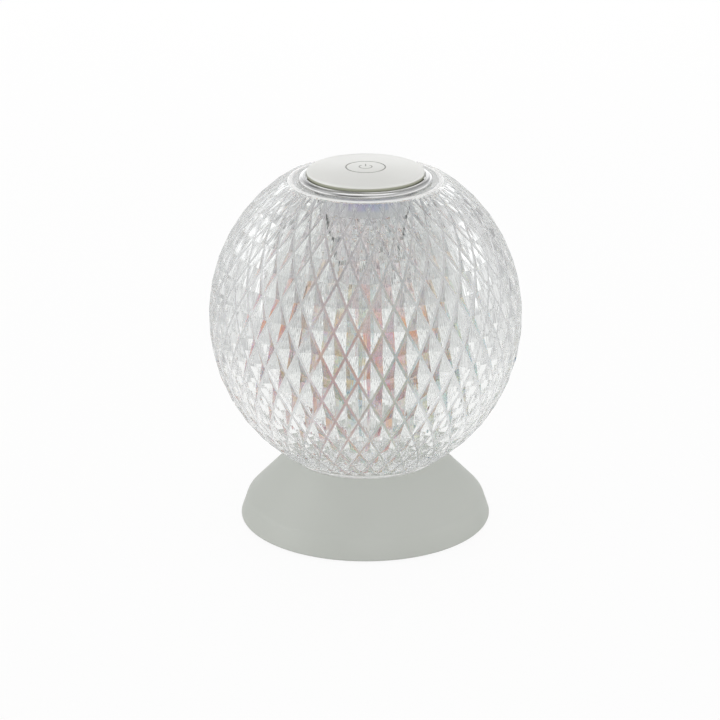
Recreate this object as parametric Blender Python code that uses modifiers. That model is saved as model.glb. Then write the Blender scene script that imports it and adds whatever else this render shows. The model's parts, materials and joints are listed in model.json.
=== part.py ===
"""A cordless crystal table lamp, in metres, +Z up, resting on z = 0.

A diamond-cut acrylic globe stands on a turned base that holds the battery, the boards and a
steel weight. A clear tapered tube carries the light up its middle to a polished ring, and a
domed cap in that ring is pressed to switch the lamp.

Run with: blender --background --python part.py
"""

import math

import bmesh
import bpy
from mathutils import Vector

MM = 0.001

# Clearances that the whole lamp shares
GAP = 0.3 * MM  # between two pieces that touch
OVERRUN = 2.0 * MM  # how far a cutter runs past what it cuts
WELD = 0.01 * MM

# Battery and its tray, which set the size of the base
BATTERY_LENGTH = 48.0 * MM
BATTERY_WIDTH = 34.0 * MM
BATTERY_THICKNESS = 6.5 * MM
BATTERY_EDGE = 1.5 * MM
TRAY_WALL = 1.2 * MM
TRAY_FLOOR = 1.1 * MM
TRAY_HEADROOM = 0.9 * MM
TRAY_CORNER = 2.0 * MM

# Main board over the tray
BOARD_THICKNESS = 1.6 * MM
BOARD_INSET = 1.0 * MM  # how far the board's edge lies inside the tray's outer edge
COMPONENT_ROOM = 3.5 * MM
CHIP_SIZE = 6.0 * MM
CHIP_HEIGHT = 1.1 * MM
COIL_RADIUS = 2.8 * MM
COIL_HEIGHT = 2.4 * MM
PLUG_SIZE = 4.0 * MM
PLUG_HEIGHT = 2.2 * MM
SOLDER_DEPTH = 0.5 * MM  # how far a soldered component reaches into its board

# Bosses and screws that close the base
BOSS_RADIUS = 3.0 * MM
BOSS_CLEARANCE = 2.5 * MM
SCREW_COUNT = 3
SCREW_SHANK_RADIUS = 1.2 * MM
SCREW_REACH = 7.5 * MM
SCREW_HEAD_RADIUS = 2.4 * MM
SCREW_HEAD_HEIGHT = 0.9 * MM
SCREW_SLOT_LENGTH = 2.8 * MM
SCREW_SLOT_WIDTH = 0.6 * MM
SCREW_SLOT_DEPTH = 0.5 * MM

# Foot ring, bottom cover and steel weight
FOOT_PROUD = 0.4 * MM  # how far the ring stands below the base's edge
FOOT_WIDTH = 5.4 * MM
FOOT_DEPTH_IN_COVER = 0.8 * MM
FOOT_WEB = 2.2 * MM  # cover left between the screw pockets and the ring
COVER_EDGE = 3.65 * MM  # cover left outside the ring
COVER_RECESS = 0.6 * MM
COVER_THICKNESS = 2.2 * MM
WEIGHT_THICKNESS = 2.5 * MM
WEIGHT_EDGE_CLEARANCE = 1.6 * MM
WEIGHT_HOLE_RADIUS = 9.0 * MM

# Base shell
BASE_BOTTOM_WALL = 3.0 * MM
BASE_WALL = 2.2 * MM
BASE_DECK = 2.2 * MM
BASE_EDGE_FILLET = 0.6 * MM
SHOULDER_HEIGHT = 8.2 * MM
SHOULDER_DRAFT = 2.65 * MM
SHOULDER_FILLET = 5.0 * MM
RIM_WIDTH = 0.7 * MM
RIM_FILLET = 0.25 * MM
SEAT_CLEARANCE = 0.4 * MM
SEAT_WIDTH = 4.5 * MM  # how far the seat runs up the globe from its foot
SPIGOT_WALL = 1.8 * MM
SPIGOT_HEIGHT = 4.3 * MM

# Charging socket at the back of the base
SOCKET_WIDTH = 8.9 * MM
SOCKET_HEIGHT = 3.2 * MM
SOCKET_LENGTH = 7.3 * MM
SOCKET_WALL = 0.3 * MM
SOCKET_CORNER = 1.45 * MM
SOCKET_RECESS = 0.5 * MM
SOCKET_BACK_WALL = 1.0 * MM
TONGUE_WIDTH = 6.6 * MM
TONGUE_THICKNESS = 0.7 * MM
TONGUE_LENGTH = 4.6 * MM
CHARGE_BOARD_WIDTH = 18.0 * MM
CHARGE_BOARD_THICKNESS = 1.2 * MM
CHARGE_BOARD_OVERLAP = 7.0 * MM  # how far the board reaches past the socket's back
POST_RADIUS = 1.6 * MM
POST_INSET = 2.4 * MM
PIPE_RADIUS = 1.0 * MM
PIPE_LENGTH = 5.0 * MM
PIPE_SPACING = 8.0 * MM  # from the socket's middle to the indicator's

# Light module on the deck
SPREADER_THICKNESS = 1.2 * MM
LED_BOARD_THICKNESS = 1.2 * MM
LED_COUNT = 8
LED_CIRCLE_RADIUS = 8.5 * MM
LED_SIZE = 2.8 * MM
LED_HEIGHT = 0.8 * MM
DIFFUSER_WALL = 1.2 * MM
DIFFUSER_HEIGHT = 6.0 * MM
DIFFUSER_INSET = 0.6 * MM  # from the spigot's outer face to the dome's
PASSAGE_RADIUS = 0.9 * MM
PASSAGE_INSET = 1.6 * MM  # from the spigot's inner face to the lead's middle

# Light tube
TUBE_FOOT_RADIUS = 19.2 * MM
TUBE_FLARE = 3.8 * MM  # how much wider the tube is at its top
TUBE_WALL = 1.6 * MM
TUBE_HEADROOM = 1.2 * MM  # from the globe's neck down to the tube's top

# Globe
GLOBE_RADIUS = 60.0 * MM
GLOBE_HALF_HEIGHT = 63.4 * MM
GLOBE_WALL = 2.4 * MM  # behind the deepest cut
BORE_CLEARANCE = 0.6 * MM
FOOT_LAND = 4.0 * MM  # width of the globe's flat foot
GASKET_THICKNESS = 0.7 * MM
GASKET_INSET = 0.4 * MM
RING_SEAT = 1.6 * MM  # globe's flat top under the ring's flange
CLEAR_LAND = 2.4 * MM  # flat that shows between the ring and the bead
BEAD_WIDTH = 1.9 * MM
BEAD_HEIGHT = 0.35 * MM
EDGE_LAND = 2.0 * MM
DIAMOND_COUNT = 41
DIAMOND_ROW_DEG = 8.2  # latitude between one row of crossings and the next
DIAMOND_DEPTH = 2.6 * MM  # of a sunk diamond's middle, at the globe's widest
DIAMOND_PHASE_DEG = 1.7
SMOOTH_BAND_DEG = 4.1  # latitude from the last row down to the smooth band
RIM_START_SHARE = 0.1  # of a row, at least, from the highest whole row up to the flat top
RIM_REACH_SHARE = 0.98  # of the way to the next row, at most, for the edge of the flat top

# Polished ring and the cap that it guides
RING_EDGE = 0.3 * MM
LIP_RISE = 1.8 * MM  # from the flange's underside to the lip
LIP_WIDTH = 0.45 * MM
LEDGE_THICKNESS = 0.4 * MM
COLLAR_DEPTH = 2.5 * MM
SPIGOT_DEPTH = 5.0 * MM
RING_SPIGOT_WALL = 0.7 * MM
RING_BORE_STEP = 0.8 * MM
HOOK_SHOULDER_DEPTH = 3.5 * MM  # from the flange's underside down to the shoulder that holds the cap
CAP_RADIUS = 22.3 * MM
CAP_RIM_HEIGHT = 2.0 * MM
CAP_DOME_RISE = 1.3 * MM
CAP_FILLET = 0.7 * MM
CAP_LOWER_FILLET = 0.35 * MM
CAP_PLATE = 1.8 * MM
CAP_LIP_DROP = 0.25 * MM  # how far the cap's rim reaches below the lip
CAP_TRAVEL = 0.8 * MM
SKIRT_WALL = 1.4 * MM
HOOK_OVERHANG = 0.8 * MM
HOOK_HEIGHT = 1.7 * MM
HOOK_SLOT_COUNT = 4
HOOK_SLOT_WIDTH = 3.0 * MM
ICON_RING_RADIUS = 7.4 * MM
ICON_LINE = 0.45 * MM
ICON_DEPTH = 0.2 * MM
POWER_RING_RADIUS = 2.2 * MM
POWER_BAR_LENGTH = 3.4 * MM

# Switch under the cap
CARRIER_THICKNESS = 2.5 * MM
CARRIER_RIM_HEIGHT = 0.8 * MM
CARRIER_RIM_WALL = 1.0 * MM
SWITCH_BOARD_RADIUS = 15.0 * MM
SWITCH_BOARD_THICKNESS = 1.2 * MM
SWITCH_SIZE = 6.0 * MM
SWITCH_HEIGHT = 3.0 * MM
PLUNGER_RADIUS = 1.75 * MM
PLUNGER_PROUD = 0.8 * MM
PLUNGER_LENGTH = 1.7 * MM
BOSS_TIP_RADIUS = 2.5 * MM
SPRING_RADIUS = 9.0 * MM
SPRING_WIRE_RADIUS = 0.4 * MM
SPRING_TURNS = 3.5
SPRING_POINTS_A_TURN = 10

# Leads
LEAD_RADIUS = 0.5 * MM
BATTERY_LEAD_RADIUS = 0.3 * MM
LEAD_STEP = 2.0 * MM

# Fineness of the meshes
BASE_SEGMENTS = 60
RING_SEGMENTS = 48
SMALL_SEGMENTS = 32
TINY_SEGMENTS = 16
ARC_STEPS = 2
SEAT_STEPS = 2
DOME_STEPS = 4
GLOBE_INNER_STEPS = 8
SMOOTH_ANGLE = math.radians(32)

# Heights and radii that follow from the sizes above, from the floor up
base_edge_z = FOOT_PROUD
cover_bottom_z = base_edge_z + COVER_RECESS
cover_top_z = cover_bottom_z + COVER_THICKNESS
weight_bottom_z = cover_top_z + GAP
weight_top_z = weight_bottom_z + WEIGHT_THICKNESS
tray_bottom_z = weight_top_z + GAP
battery_bottom_z = tray_bottom_z + TRAY_FLOOR + GAP
battery_top_z = battery_bottom_z + BATTERY_THICKNESS
tray_top_z = battery_top_z + TRAY_HEADROOM
board_bottom_z = tray_top_z + GAP
board_top_z = board_bottom_z + BOARD_THICKNESS
deck_bottom_z = board_top_z + COMPONENT_ROOM
deck_top_z = deck_bottom_z + BASE_DECK
gasket_bottom_z = deck_top_z + GAP
globe_foot_z = gasket_bottom_z + GASKET_THICKNESS + GAP

tray_length = BATTERY_LENGTH + 2 * (GAP + TRAY_WALL)
tray_width = BATTERY_WIDTH + 2 * (GAP + TRAY_WALL)
screw_circle_radius = tray_length / 2 + BOSS_CLEARANCE + BOSS_RADIUS
pocket_radius = SCREW_HEAD_RADIUS + GAP
foot_inner_radius = screw_circle_radius + pocket_radius + FOOT_WEB + GAP
foot_outer_radius = foot_inner_radius + FOOT_WIDTH
cover_radius = foot_outer_radius + GAP + COVER_EDGE
base_radius = cover_radius + GAP + BASE_BOTTOM_WALL
shoulder_radius = base_radius - SHOULDER_DRAFT

tube_top_radius = TUBE_FOOT_RADIUS + TUBE_FLARE
tube_foot_inner_radius = TUBE_FOOT_RADIUS - TUBE_WALL
tube_top_inner_radius = tube_top_radius - TUBE_WALL
tube_bottom_z = deck_top_z + GAP
spigot_radius = tube_foot_inner_radius - GAP
spigot_inner_radius = spigot_radius - SPIGOT_WALL
spigot_top_z = deck_top_z + SPIGOT_HEIGHT

globe_foot_bore_radius = TUBE_FOOT_RADIUS + BORE_CLEARANCE
globe_foot_radius = globe_foot_bore_radius + FOOT_LAND
globe_top_bore_radius = tube_top_radius + BORE_CLEARANCE
ring_radius = globe_top_bore_radius + RING_SEAT
bead_inner_radius = ring_radius + CLEAR_LAND
bead_outer_radius = bead_inner_radius + BEAD_WIDTH
globe_top_radius = bead_outer_radius + EDGE_LAND


def latitude_at(radius, equator_radius):
    """The parametric latitude, in radians, at which an ellipsoid narrows to this radius."""
    return math.acos(radius / equator_radius)


foot_latitude = -latitude_at(globe_foot_radius, GLOBE_RADIUS)
top_latitude = latitude_at(globe_top_radius, GLOBE_RADIUS)
globe_centre_z = globe_foot_z - GLOBE_HALF_HEIGHT * math.sin(foot_latitude)
globe_top_z = globe_centre_z + GLOBE_HALF_HEIGHT * math.sin(top_latitude)
globe_inner_radius = GLOBE_RADIUS - DIAMOND_DEPTH - GLOBE_WALL
globe_inner_half_height = GLOBE_HALF_HEIGHT - DIAMOND_DEPTH - GLOBE_WALL
neck_latitude = latitude_at(globe_top_bore_radius, globe_inner_radius)
neck_z = globe_centre_z + globe_inner_half_height * math.sin(neck_latitude)
throat_latitude = -latitude_at(globe_foot_bore_radius, globe_inner_radius)

ring_bottom_z = globe_top_z + GAP
collar_bottom_z = ring_bottom_z - COLLAR_DEPTH
tube_top_z = min(neck_z - TUBE_HEADROOM, collar_bottom_z - GAP)
ring_spigot_bottom_z = collar_bottom_z - SPIGOT_DEPTH
collar_radius = globe_top_bore_radius - GAP
ring_spigot_radius = tube_top_inner_radius - GAP
undercut_radius = ring_spigot_radius - RING_SPIGOT_WALL
ring_bore_radius = undercut_radius - RING_BORE_STEP
hook_shoulder_z = ring_bottom_z - HOOK_SHOULDER_DEPTH
lip_z = ring_bottom_z + LIP_RISE
lip_inner_radius = CAP_RADIUS + GAP + RIM_FILLET / 2
ledge_z = ring_bottom_z + LEDGE_THICKNESS

cap_rim_bottom_z = lip_z - CAP_LIP_DROP
cap_rim_top_z = cap_rim_bottom_z + CAP_RIM_HEIGHT
cap_apex_z = cap_rim_top_z + CAP_DOME_RISE
cap_under_z = cap_apex_z - CAP_DOME_RISE / 2 - CAP_PLATE
skirt_radius = ring_bore_radius - GAP
hook_radius = skirt_radius + HOOK_OVERHANG
hook_top_z = hook_shoulder_z - GAP
hook_bottom_z = hook_top_z - HOOK_HEIGHT

carrier_top_z = ring_spigot_bottom_z - GAP
carrier_bottom_z = carrier_top_z - CARRIER_THICKNESS
switch_board_bottom_z = carrier_top_z + GAP
switch_board_top_z = switch_board_bottom_z + SWITCH_BOARD_THICKNESS
switch_bottom_z = switch_board_top_z + GAP
switch_top_z = switch_bottom_z + SWITCH_HEIGHT
plunger_top_z = switch_top_z + PLUNGER_PROUD
plunger_bottom_z = plunger_top_z - PLUNGER_LENGTH

socket_z = weight_bottom_z + SOCKET_HEIGHT / 2 + GAP / 2
passage_y = spigot_inner_radius - PASSAGE_INSET


def clear_scene():
    for old in list(bpy.data.objects):
        bpy.data.objects.remove(old, do_unlink=True)


def new_collection(name):
    collection = bpy.data.collections.new(name)
    bpy.context.scene.collection.children.link(collection)
    return collection


def new_material(name, colour, roughness, metallic=0.0, transmission=0.0, ior=1.49):
    material = bpy.data.materials.new(name)
    material.use_nodes = True
    shader = material.node_tree.nodes["Principled BSDF"]
    shader.inputs["Base Color"].default_value = (*colour, 1.0)
    shader.inputs["Roughness"].default_value = roughness
    shader.inputs["Metallic"].default_value = metallic
    shader.inputs["Transmission Weight"].default_value = transmission
    shader.inputs["IOR"].default_value = ior
    material.diffuse_color = (*colour, 1.0)
    return material


clear_scene()
PARTS = new_collection("crystal_table_lamp")
CUTTERS = new_collection("cutters")

MATT_SHELL = new_material("matt_shell", (0.50, 0.52, 0.48), 0.55)
COVER_PLASTIC = new_material("cover_plastic", (0.42, 0.43, 0.41), 0.6)
CAP_PLASTIC = new_material("cap_plastic", (0.80, 0.80, 0.76), 0.35)
INNER_PLASTIC = new_material("inner_plastic", (0.75, 0.75, 0.73), 0.5)
CRYSTAL = new_material("crystal", (1.0, 1.0, 1.0), 0.0, transmission=1.0)
FILM_TUBE = new_material("film_tube", (0.97, 0.95, 1.0), 0.05, transmission=1.0)
FROSTED = new_material("frosted", (0.93, 0.93, 0.91), 0.4, transmission=0.6)
POLISHED_RING = new_material("polished_ring", (0.78, 0.78, 0.78), 0.08, metallic=1.0)
STEEL = new_material("steel", (0.55, 0.55, 0.56), 0.35, metallic=1.0)
ALUMINIUM = new_material("aluminium", (0.70, 0.71, 0.72), 0.35, metallic=1.0)
SILICONE = new_material("silicone", (0.62, 0.62, 0.60), 0.7)
BOARD_GREEN = new_material("board_green", (0.03, 0.20, 0.08), 0.4)
BOARD_WHITE = new_material("board_white", (0.85, 0.85, 0.83), 0.4)
CELL_WRAP = new_material("cell_wrap", (0.60, 0.61, 0.64), 0.3, metallic=0.7)
BLACK_PLASTIC = new_material("black_plastic", (0.02, 0.02, 0.02), 0.4)
LEAD_SLEEVE = new_material("lead_sleeve", (0.86, 0.86, 0.86), 0.5)


def link(name, mesh, material, collection=None):
    obj = bpy.data.objects.new(name, mesh)
    (collection or PARTS).objects.link(obj)
    if not obj.data.materials:
        obj.data.materials.append(material)
    return obj


def cutter(obj):
    """Turns an object into a cutter, which is drawn as wires and never rendered."""
    obj.hide_render = True
    obj.display_type = "WIRE"
    for collection in obj.users_collection:
        collection.objects.unlink(obj)
    CUTTERS.objects.link(obj)
    return obj


def bake(obj):
    """Puts the evaluated mesh in place of the object's own, with its modifiers applied."""
    bpy.context.view_layer.update()
    graph = bpy.context.evaluated_depsgraph_get()
    old = obj.data
    obj.data = bpy.data.meshes.new_from_object(obj.evaluated_get(graph))
    obj.modifiers.clear()
    bpy.data.meshes.remove(old)
    return obj


def shade(obj):
    obj.data.shade_smooth()
    obj.data.set_sharp_from_angle(angle=SMOOTH_ANGLE)
    return obj


def finish_bmesh(name, shape, material):
    mesh = bpy.data.meshes.new(name)
    shape.to_mesh(mesh)
    shape.free()
    return shade(link(name, mesh, material))


def combine(obj, other, operation):
    """Adds a Boolean of the other object, which becomes a cutter."""
    cutter(other)
    modifier = obj.modifiers.new(operation.lower() + "_" + other.name, "BOOLEAN")
    modifier.operation = operation
    modifier.solver = "EXACT"
    modifier.object = other
    return obj


def cut(obj, other):
    return combine(obj, other, "DIFFERENCE")


def join(obj, other):
    return combine(obj, other, "UNION")


def filleted(corners, is_loop):
    """The points of a profile of (radius, height, fillet) corners, with each fillet as an arc."""
    count = len(corners)
    points = []
    for i, (radius, height, fillet) in enumerate(corners):
        here = Vector((radius, height))
        at_end = not is_loop and i in (0, count - 1)
        if at_end or not fillet:
            points.append(here)
            continue
        before = Vector(corners[i - 1][:2]) - here
        after = Vector(corners[(i + 1) % count][:2]) - here
        half_angle = before.angle(after) / 2
        reach = fillet / math.tan(half_angle)
        # A fillet takes at most this share of either side
        limit_share = 0.48
        reach = min(reach, limit_share * before.length, limit_share * after.length)
        fillet = reach * math.tan(half_angle)
        start = here + before.normalized() * reach
        end = here + after.normalized() * reach
        middle = (before.normalized() + after.normalized()).normalized()
        centre = here + middle * (fillet / math.sin(half_angle))
        from_centre = start - centre
        turn = from_centre.angle_signed(end - centre)
        for step in range(ARC_STEPS + 1):
            angle = turn * step / ARC_STEPS
            cos, sin = math.cos(angle), math.sin(angle)
            # angle_signed is positive clockwise
            x = from_centre.x * cos + from_centre.y * sin
            y = -from_centre.x * sin + from_centre.y * cos
            points.append(centre + Vector((x, y)))
    return points


def turned(name, corners, material, segments=RING_SEGMENTS, is_loop=True):
    """A turned piece: a profile at +X, running down its outer side, with a Screw modifier.

    A corner is (radius, height) or (radius, height, fillet). A solid piece starts and ends on
    the axis, and is_loop is then False.
    """
    corners = [corner if len(corner) == 3 else (*corner, 0.0) for corner in corners]
    points = filleted(corners, is_loop)
    last = len(points)
    edges = [(i, (i + 1) % last) for i in range(last if is_loop else last - 1)]
    mesh = bpy.data.meshes.new(name)
    mesh.from_pydata([(p.x, 0.0, p.y) for p in points], edges, [])
    obj = link(name, mesh, material)
    screw = obj.modifiers.new("turn", "SCREW")
    screw.axis = "Z"
    screw.steps = segments
    screw.render_steps = segments
    screw.use_merge_vertices = True
    screw.merge_threshold = WELD
    return shade(bake(obj))


def rod(name, radius, bottom, top, material, x=0.0, y=0.0, segments=TINY_SEGMENTS):
    """An upright cylinder between two heights."""
    shape = bmesh.new()
    bmesh.ops.create_cone(
        shape,
        cap_ends=True,
        segments=segments,
        radius1=radius,
        radius2=radius,
        depth=top - bottom,
    )
    obj = finish_bmesh(name, shape, material)
    obj.location = (x, y, (top + bottom) / 2)
    return obj


def block(name, low, high, material, edge=0.0, axis=2, edge_steps=2):
    """A box between two corners, whose edges along one axis are rounded by edge."""
    size = Vector(high) - Vector(low)
    shape = bmesh.new()
    bmesh.ops.create_cube(shape, size=1.0)
    bmesh.ops.scale(shape, vec=size, verts=shape.verts)
    if edge:
        along = [e for e in shape.edges if abs((e.verts[0].co - e.verts[1].co)[axis]) > WELD]
        bmesh.ops.bevel(
            shape, geom=along, offset=edge, segments=edge_steps, profile=0.5, affect="EDGES"
        )
    obj = finish_bmesh(name, shape, material)
    obj.location = (Vector(high) + Vector(low)) / 2
    return obj


def inset_corner(before, here, after, distance):
    """The corner of a line moved this far to the right of before-here-after."""
    first = (Vector(here) - Vector(before)).normalized()
    second = (Vector(after) - Vector(here)).normalized()
    normal_1 = Vector((first.y, -first.x))
    normal_2 = Vector((second.y, -second.x))
    middle = (normal_1 + normal_2).normalized()
    return Vector(here) + middle * (distance / middle.dot(normal_1))


def on_circle(radius, index, count, start_deg=0.0):
    angle = math.radians(start_deg) + 2 * math.pi * index / count
    return radius * math.cos(angle), radius * math.sin(angle)


def seat_point(latitude):
    """A point of the seat: the globe's outline at this latitude, moved out by the clearance."""
    x, z = GLOBE_RADIUS * math.cos(latitude), GLOBE_HALF_HEIGHT * math.sin(latitude)
    normal = Vector((x / GLOBE_RADIUS**2, z / GLOBE_HALF_HEIGHT**2)).normalized()
    return Vector((x, globe_centre_z + z)) + normal * SEAT_CLEARANCE


rim_latitude = -latitude_at(globe_foot_radius + SEAT_WIDTH, GLOBE_RADIUS)
rim_inner = seat_point(rim_latitude)
rim_outer = rim_inner + Vector((RIM_WIDTH, 0.0))


def make_base_shell():
    """The turned housing, with its deck, seat, spigot, screw bosses and the holes in them."""
    edge_outer = (base_radius, base_edge_z)
    shoulder = (shoulder_radius, SHOULDER_HEIGHT)
    inner_shoulder = inset_corner(rim_outer, shoulder, edge_outer, BASE_WALL)
    slope = (Vector(shoulder) - rim_outer).normalized()
    inward = Vector((slope.y, -slope.x)) * BASE_WALL
    under_rim = rim_outer + inward
    run = (under_rim.y - deck_bottom_z) / -slope.y
    deck_corner = under_rim + slope * run
    seat_foot_radius = globe_foot_radius + SEAT_CLEARANCE
    profile = [
        (0.0, deck_top_z),
        (spigot_inner_radius, deck_top_z),
        (spigot_inner_radius, spigot_top_z),
        (spigot_radius, spigot_top_z),
        (spigot_radius, deck_top_z),
        (seat_foot_radius, deck_top_z),
    ]
    for step in range(SEAT_STEPS):
        share = step / SEAT_STEPS
        point = seat_point(foot_latitude + (rim_latitude - foot_latitude) * share)
        profile.append((max(point.x, seat_foot_radius), point.y))
    profile += [
        (rim_inner.x, rim_inner.y),
        (rim_outer.x, rim_outer.y, RIM_FILLET),
        (*shoulder, SHOULDER_FILLET),
        (*edge_outer, BASE_EDGE_FILLET),
        (cover_radius + GAP, base_edge_z),
        (cover_radius + GAP, cover_top_z),
        (inner_shoulder.x, max(inner_shoulder.y, cover_top_z + OVERRUN)),
        (deck_corner.x, deck_bottom_z),
        (0.0, deck_bottom_z),
    ]
    shell = turned("base_shell", profile, MATT_SHELL, BASE_SEGMENTS, is_loop=False)
    outer_at_boss = screw_circle_radius + BOSS_RADIUS
    slope_rise = (rim_outer.y - SHOULDER_HEIGHT) / (shoulder_radius - rim_outer.x)
    skin_z = SHOULDER_HEIGHT + slope_rise * (shoulder_radius - outer_at_boss)
    boss_top_z = skin_z - BASE_WALL / 2
    for index in range(SCREW_COUNT):
        x, y = on_circle(screw_circle_radius, index, SCREW_COUNT)
        boss = rod("boss", BOSS_RADIUS, weight_bottom_z, boss_top_z, MATT_SHELL, x, y)
        join(shell, boss)
    for index in range(SCREW_COUNT):
        x, y = on_circle(screw_circle_radius, index, SCREW_COUNT)
        top = weight_bottom_z + SCREW_REACH + GAP
        hole_radius = SCREW_SHANK_RADIUS + GAP
        hole = rod("boss_hole", hole_radius, base_edge_z, top, MATT_SHELL, x, y)
        cut(shell, hole)
    cut(shell, socket_opening())
    cut(shell, pipe_solid("pipe_opening", PIPE_RADIUS + GAP, OVERRUN))
    cut(shell, passage("deck_passage"))
    return shell


def wall_radius_at_socket():
    """The radius of the base's outer wall at the height of the charging socket."""
    share = (socket_z - base_edge_z) / (SHOULDER_HEIGHT - base_edge_z)
    return base_radius - SHOULDER_DRAFT * share


socket_mouth_y = wall_radius_at_socket() - SOCKET_RECESS
socket_back_y = socket_mouth_y - SOCKET_LENGTH


def socket_opening():
    half_width = SOCKET_WIDTH / 2 + GAP
    half_height = SOCKET_HEIGHT / 2 + GAP
    low = (-half_width, socket_back_y, socket_z - half_height)
    high = (half_width, base_radius + OVERRUN, socket_z + half_height)
    corner = SOCKET_CORNER + GAP
    return block("socket_opening", low, high, MATT_SHELL, corner, 1, ARC_STEPS)


def pipe_solid(name, radius, overrun=0.0):
    """The indicator's light pipe, or the hole for it, lying along Y."""
    wall = math.sqrt(wall_radius_at_socket() ** 2 - PIPE_SPACING**2)
    front = wall - SOCKET_RECESS + overrun
    back = wall - SOCKET_RECESS - PIPE_LENGTH - overrun
    pipe = rod(name, radius, back, front, FROSTED)
    pipe.rotation_euler = (-math.pi / 2, 0.0, 0.0)
    pipe.location = (PIPE_SPACING, (front + back) / 2, socket_z)
    return pipe


def passage(name):
    """The upright hole that the cap's lead passes through."""
    top = spigot_top_z + GAP + DIFFUSER_HEIGHT + OVERRUN
    return rod(name, PASSAGE_RADIUS, board_top_z, top, MATT_SHELL, 0.0, passage_y)


def make_bottom_cover():
    groove_top_z = cover_bottom_z + FOOT_DEPTH_IN_COVER
    profile = [
        (0.0, cover_top_z),
        (cover_radius, cover_top_z),
        (cover_radius, cover_bottom_z),
        (foot_outer_radius + GAP, cover_bottom_z),
        (foot_outer_radius + GAP, groove_top_z),
        (foot_inner_radius - GAP, groove_top_z),
        (foot_inner_radius - GAP, cover_bottom_z),
        (0.0, cover_bottom_z),
    ]
    cover = turned("bottom_cover", profile, COVER_PLASTIC, RING_SEGMENTS, is_loop=False)
    for side in (-1, 1):
        x = side * (CHARGE_BOARD_WIDTH / 2 - POST_INSET)
        y = charge_board_low_y + POST_INSET
        bottom = cover_top_z - COVER_THICKNESS / 2
        top = socket_z - CHARGE_BOARD_THICKNESS / 2 - GAP
        join(cover, rod("post", POST_RADIUS, bottom, top, COVER_PLASTIC, x, y))
    for index in range(SCREW_COUNT):
        x, y = on_circle(screw_circle_radius, index, SCREW_COUNT)
        pocket_top = cover_bottom_z + SCREW_HEAD_HEIGHT + 2 * GAP
        low = cover_bottom_z - OVERRUN
        pocket = rod("pocket", pocket_radius, low, pocket_top, COVER_PLASTIC, x, y)
        hole_radius = SCREW_SHANK_RADIUS + GAP
        high = cover_top_z + OVERRUN
        hole = rod("cover_hole", hole_radius, low, high, COVER_PLASTIC, x, y)
        cut(cover, pocket)
        cut(cover, hole)
    return cover


def make_foot_ring():
    top = cover_bottom_z + FOOT_DEPTH_IN_COVER - GAP
    edge = FOOT_PROUD / 2
    profile = [
        (foot_inner_radius, top),
        (foot_outer_radius, top),
        (foot_outer_radius, edge),
        (foot_outer_radius - edge, 0.0),
        (foot_inner_radius + edge, 0.0),
        (foot_inner_radius, edge),
    ]
    return turned("foot_ring", profile, SILICONE, RING_SEGMENTS)


def make_cover_screws():
    head_bottom = cover_bottom_z + GAP
    head_top = head_bottom + SCREW_HEAD_HEIGHT
    tip = weight_bottom_z + SCREW_REACH
    for index in range(SCREW_COUNT):
        x, y = on_circle(screw_circle_radius, index, SCREW_COUNT)
        profile = [
            (0.0, tip),
            (SCREW_SHANK_RADIUS, tip - SCREW_SHANK_RADIUS),
            (SCREW_SHANK_RADIUS, head_top),
            (SCREW_HEAD_RADIUS, head_top),
            (SCREW_HEAD_RADIUS, head_bottom, SCREW_HEAD_HEIGHT / 3),
            (0.0, head_bottom),
        ]
        name = f"cover_screw_{index + 1}"
        screw = turned(name, profile, STEEL, TINY_SEGMENTS, is_loop=False)
        screw.location = (x, y, 0.0)
        for number, (length, width) in enumerate(
            ((SCREW_SLOT_LENGTH, SCREW_SLOT_WIDTH), (SCREW_SLOT_WIDTH, SCREW_SLOT_LENGTH))
        ):
            low = (-length / 2, -width / 2, head_bottom - OVERRUN)
            high = (length / 2, width / 2, head_bottom + SCREW_SLOT_DEPTH)
            slot = block(f"slot_{number}", low, high, STEEL)
            slot.location += screw.location
            cut(screw, slot)


def make_weight():
    """The steel plate that steadies the lamp, notched round the charging board."""
    outer = inner_wall_radius(weight_top_z) - WEIGHT_EDGE_CLEARANCE
    profile = [
        (WEIGHT_HOLE_RADIUS, weight_top_z),
        (outer, weight_top_z),
        (outer, weight_bottom_z),
        (WEIGHT_HOLE_RADIUS, weight_bottom_z),
    ]
    weight = turned("weight_plate", profile, STEEL, SMALL_SEGMENTS)
    low_z, high_z = weight_bottom_z - OVERRUN, weight_top_z + OVERRUN
    for index in range(SCREW_COUNT):
        x, y = on_circle(screw_circle_radius, index, SCREW_COUNT)
        hole = rod("weight_hole", BOSS_RADIUS + GAP, low_z, high_z, STEEL, x, y)
        cut(weight, hole)
    half_width = CHARGE_BOARD_WIDTH / 2 + BOSS_CLEARANCE / 2
    low = (-half_width, charge_board_low_y - GAP, low_z)
    high = (half_width, base_radius + OVERRUN, high_z)
    return cut(weight, block("weight_notch", low, high, STEEL))


def inner_wall_radius(height):
    """The radius of the base's inner wall at a height near its bottom."""
    share = (height - base_edge_z) / (SHOULDER_HEIGHT - base_edge_z)
    return base_radius - SHOULDER_DRAFT * share - BASE_WALL


charge_board_low_y = socket_back_y - CHARGE_BOARD_OVERLAP
charge_board_top_z = socket_z + CHARGE_BOARD_THICKNESS / 2
wall_at_board = inner_wall_radius(charge_board_top_z)
charge_board_high_y = math.sqrt(wall_at_board**2 - (CHARGE_BOARD_WIDTH / 2) ** 2) - GAP


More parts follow.
